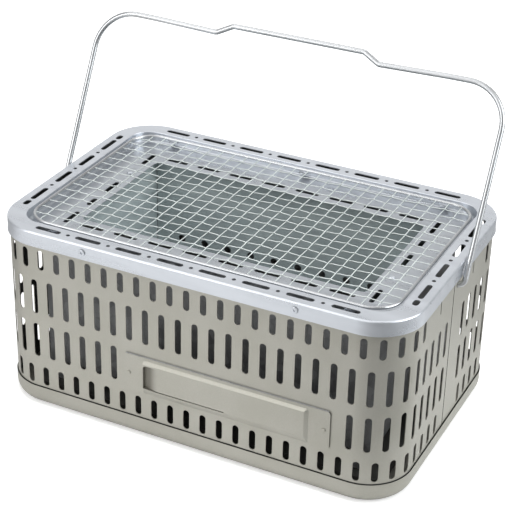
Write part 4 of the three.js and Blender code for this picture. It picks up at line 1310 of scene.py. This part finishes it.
def makeToneGroup():
    # brightness of the room in a direction, by compass: soft boxes with dimmer gaps between them
    tree, given, end = newGroup("roomTone", {"Direction": (0, 0, 0)}, "Tone")
    parts = addNode(tree, "ShaderNodeSeparateXYZ", Vector=given["Direction"]).outputs
    angle = mathNode(tree, "ARCTAN2", parts[0], mathNode(tree, "MULTIPLY", parts[1], -1.0))
    stops = [((degrees + 180) / 360, tone) for degrees, tone in room["tones"]]
    setInputs(tree, end, Tone=ramp(tree, remap(tree, angle, -math.pi, math.pi), stops))
    return tree


toneGroup = makeToneGroup()


def makeFloor():
    half, height = room["floorHalf"] / mm, room["floorHeight"]
    x, y = np.array([-1, 1, 1, -1]) * half, np.array([-1, -1, 1, 1]) * half
    floor = newPiece("floor", toPoints(x, y, height), [[[0, 1, 2, 3]]])
    material, tree, shader = startMaterial(
        "floorPaper", Roughness=room["floorRoughness"], Specular_IOR_Level=0.0,
        Emission_Color=(1, 1, 1, 1),
    )
    place = objectPlace(tree)
    away = addNode(tree, "ShaderNodeVectorMath", {"operation": "LENGTH"}, i0=place).outputs["Value"]
    start, end, own = room["near"]
    far = useGroup(tree, toneGroup, Direction=place)["Tone"]
    tone = mixValues(tree, remap(tree, away, start, end), own, far)
    seen = addNode(tree, "ShaderNodeLightPath").outputs["Is Camera Ray"]
    pale = linear(*room["floorColour"])
    colour = mixColours(tree, seen, mixColours(tree, 1.0, pale, tone, "MULTIPLY"), pale)
    glow = remap(tree, away, *room["glowReach"], *room["floorGlow"])
    glow = mathNode(tree, "MULTIPLY", seen, glow)
    setInputs(tree, shader, Base_Color=colour, Emission_Strength=glow)
    floor.data.materials.append(material)


def makeRoom():
    # white where the camera sees it, and toned by compass and height for everything else
    world = bpy.data.worlds.new("room")
    world.use_nodes = True
    tree = world.node_tree
    direction = addNode(tree, "ShaderNodeTexCoord").outputs["Generated"]
    height = addNode(tree, "ShaderNodeSeparateXYZ", Vector=direction).outputs[2]
    stops = [((low + 1) / 2, value) for low, value in room["heights"]]
    tone = useGroup(tree, toneGroup, Direction=direction)["Tone"]
    tone = mathNode(tree, "MULTIPLY", tone, ramp(tree, remap(tree, height, -1.0, 1.0), stops))
    light = addNode(tree, "ShaderNodeLightPath").outputs
    strength = mixValues(tree, light["Is Glossy Ray"], room["ambient"], room["gloss"])
    strength = mathNode(tree, "MULTIPLY", strength, tone)
    straight = mathNode(tree, "MAXIMUM", light["Is Camera Ray"], light["Is Transmission Ray"])
    strength = mixValues(tree, straight, strength, 1.0)
    setInputs(tree, tree.nodes["Background"], Strength=strength, Color=(1, 1, 1, 1))
    scene.world = world


def makeLamp(name, place, size, power, tint, mirrored):
    # a soft box aimed at the grill
    data = bpy.data.lights.new(name, "AREA")
    data.shape, data.size, data.energy, data.color = "DISK", size, power, tint
    lamp = bpy.data.objects.new(name, data)
    lamp.visible_glossy = mirrored
    aim = Vector((0, 0, room["aimHeight"])) - Vector(place)
    turn = aim.to_track_quat("-Z", "Y").to_matrix().to_4x4()
    lamp.matrix_world = Matrix.Translation(place) @ turn
    scene.collection.objects.link(lamp)


makeFloor()
makeRoom()
for name, values in lamps.items():
    makeLamp(name, *values)
print("room ready")
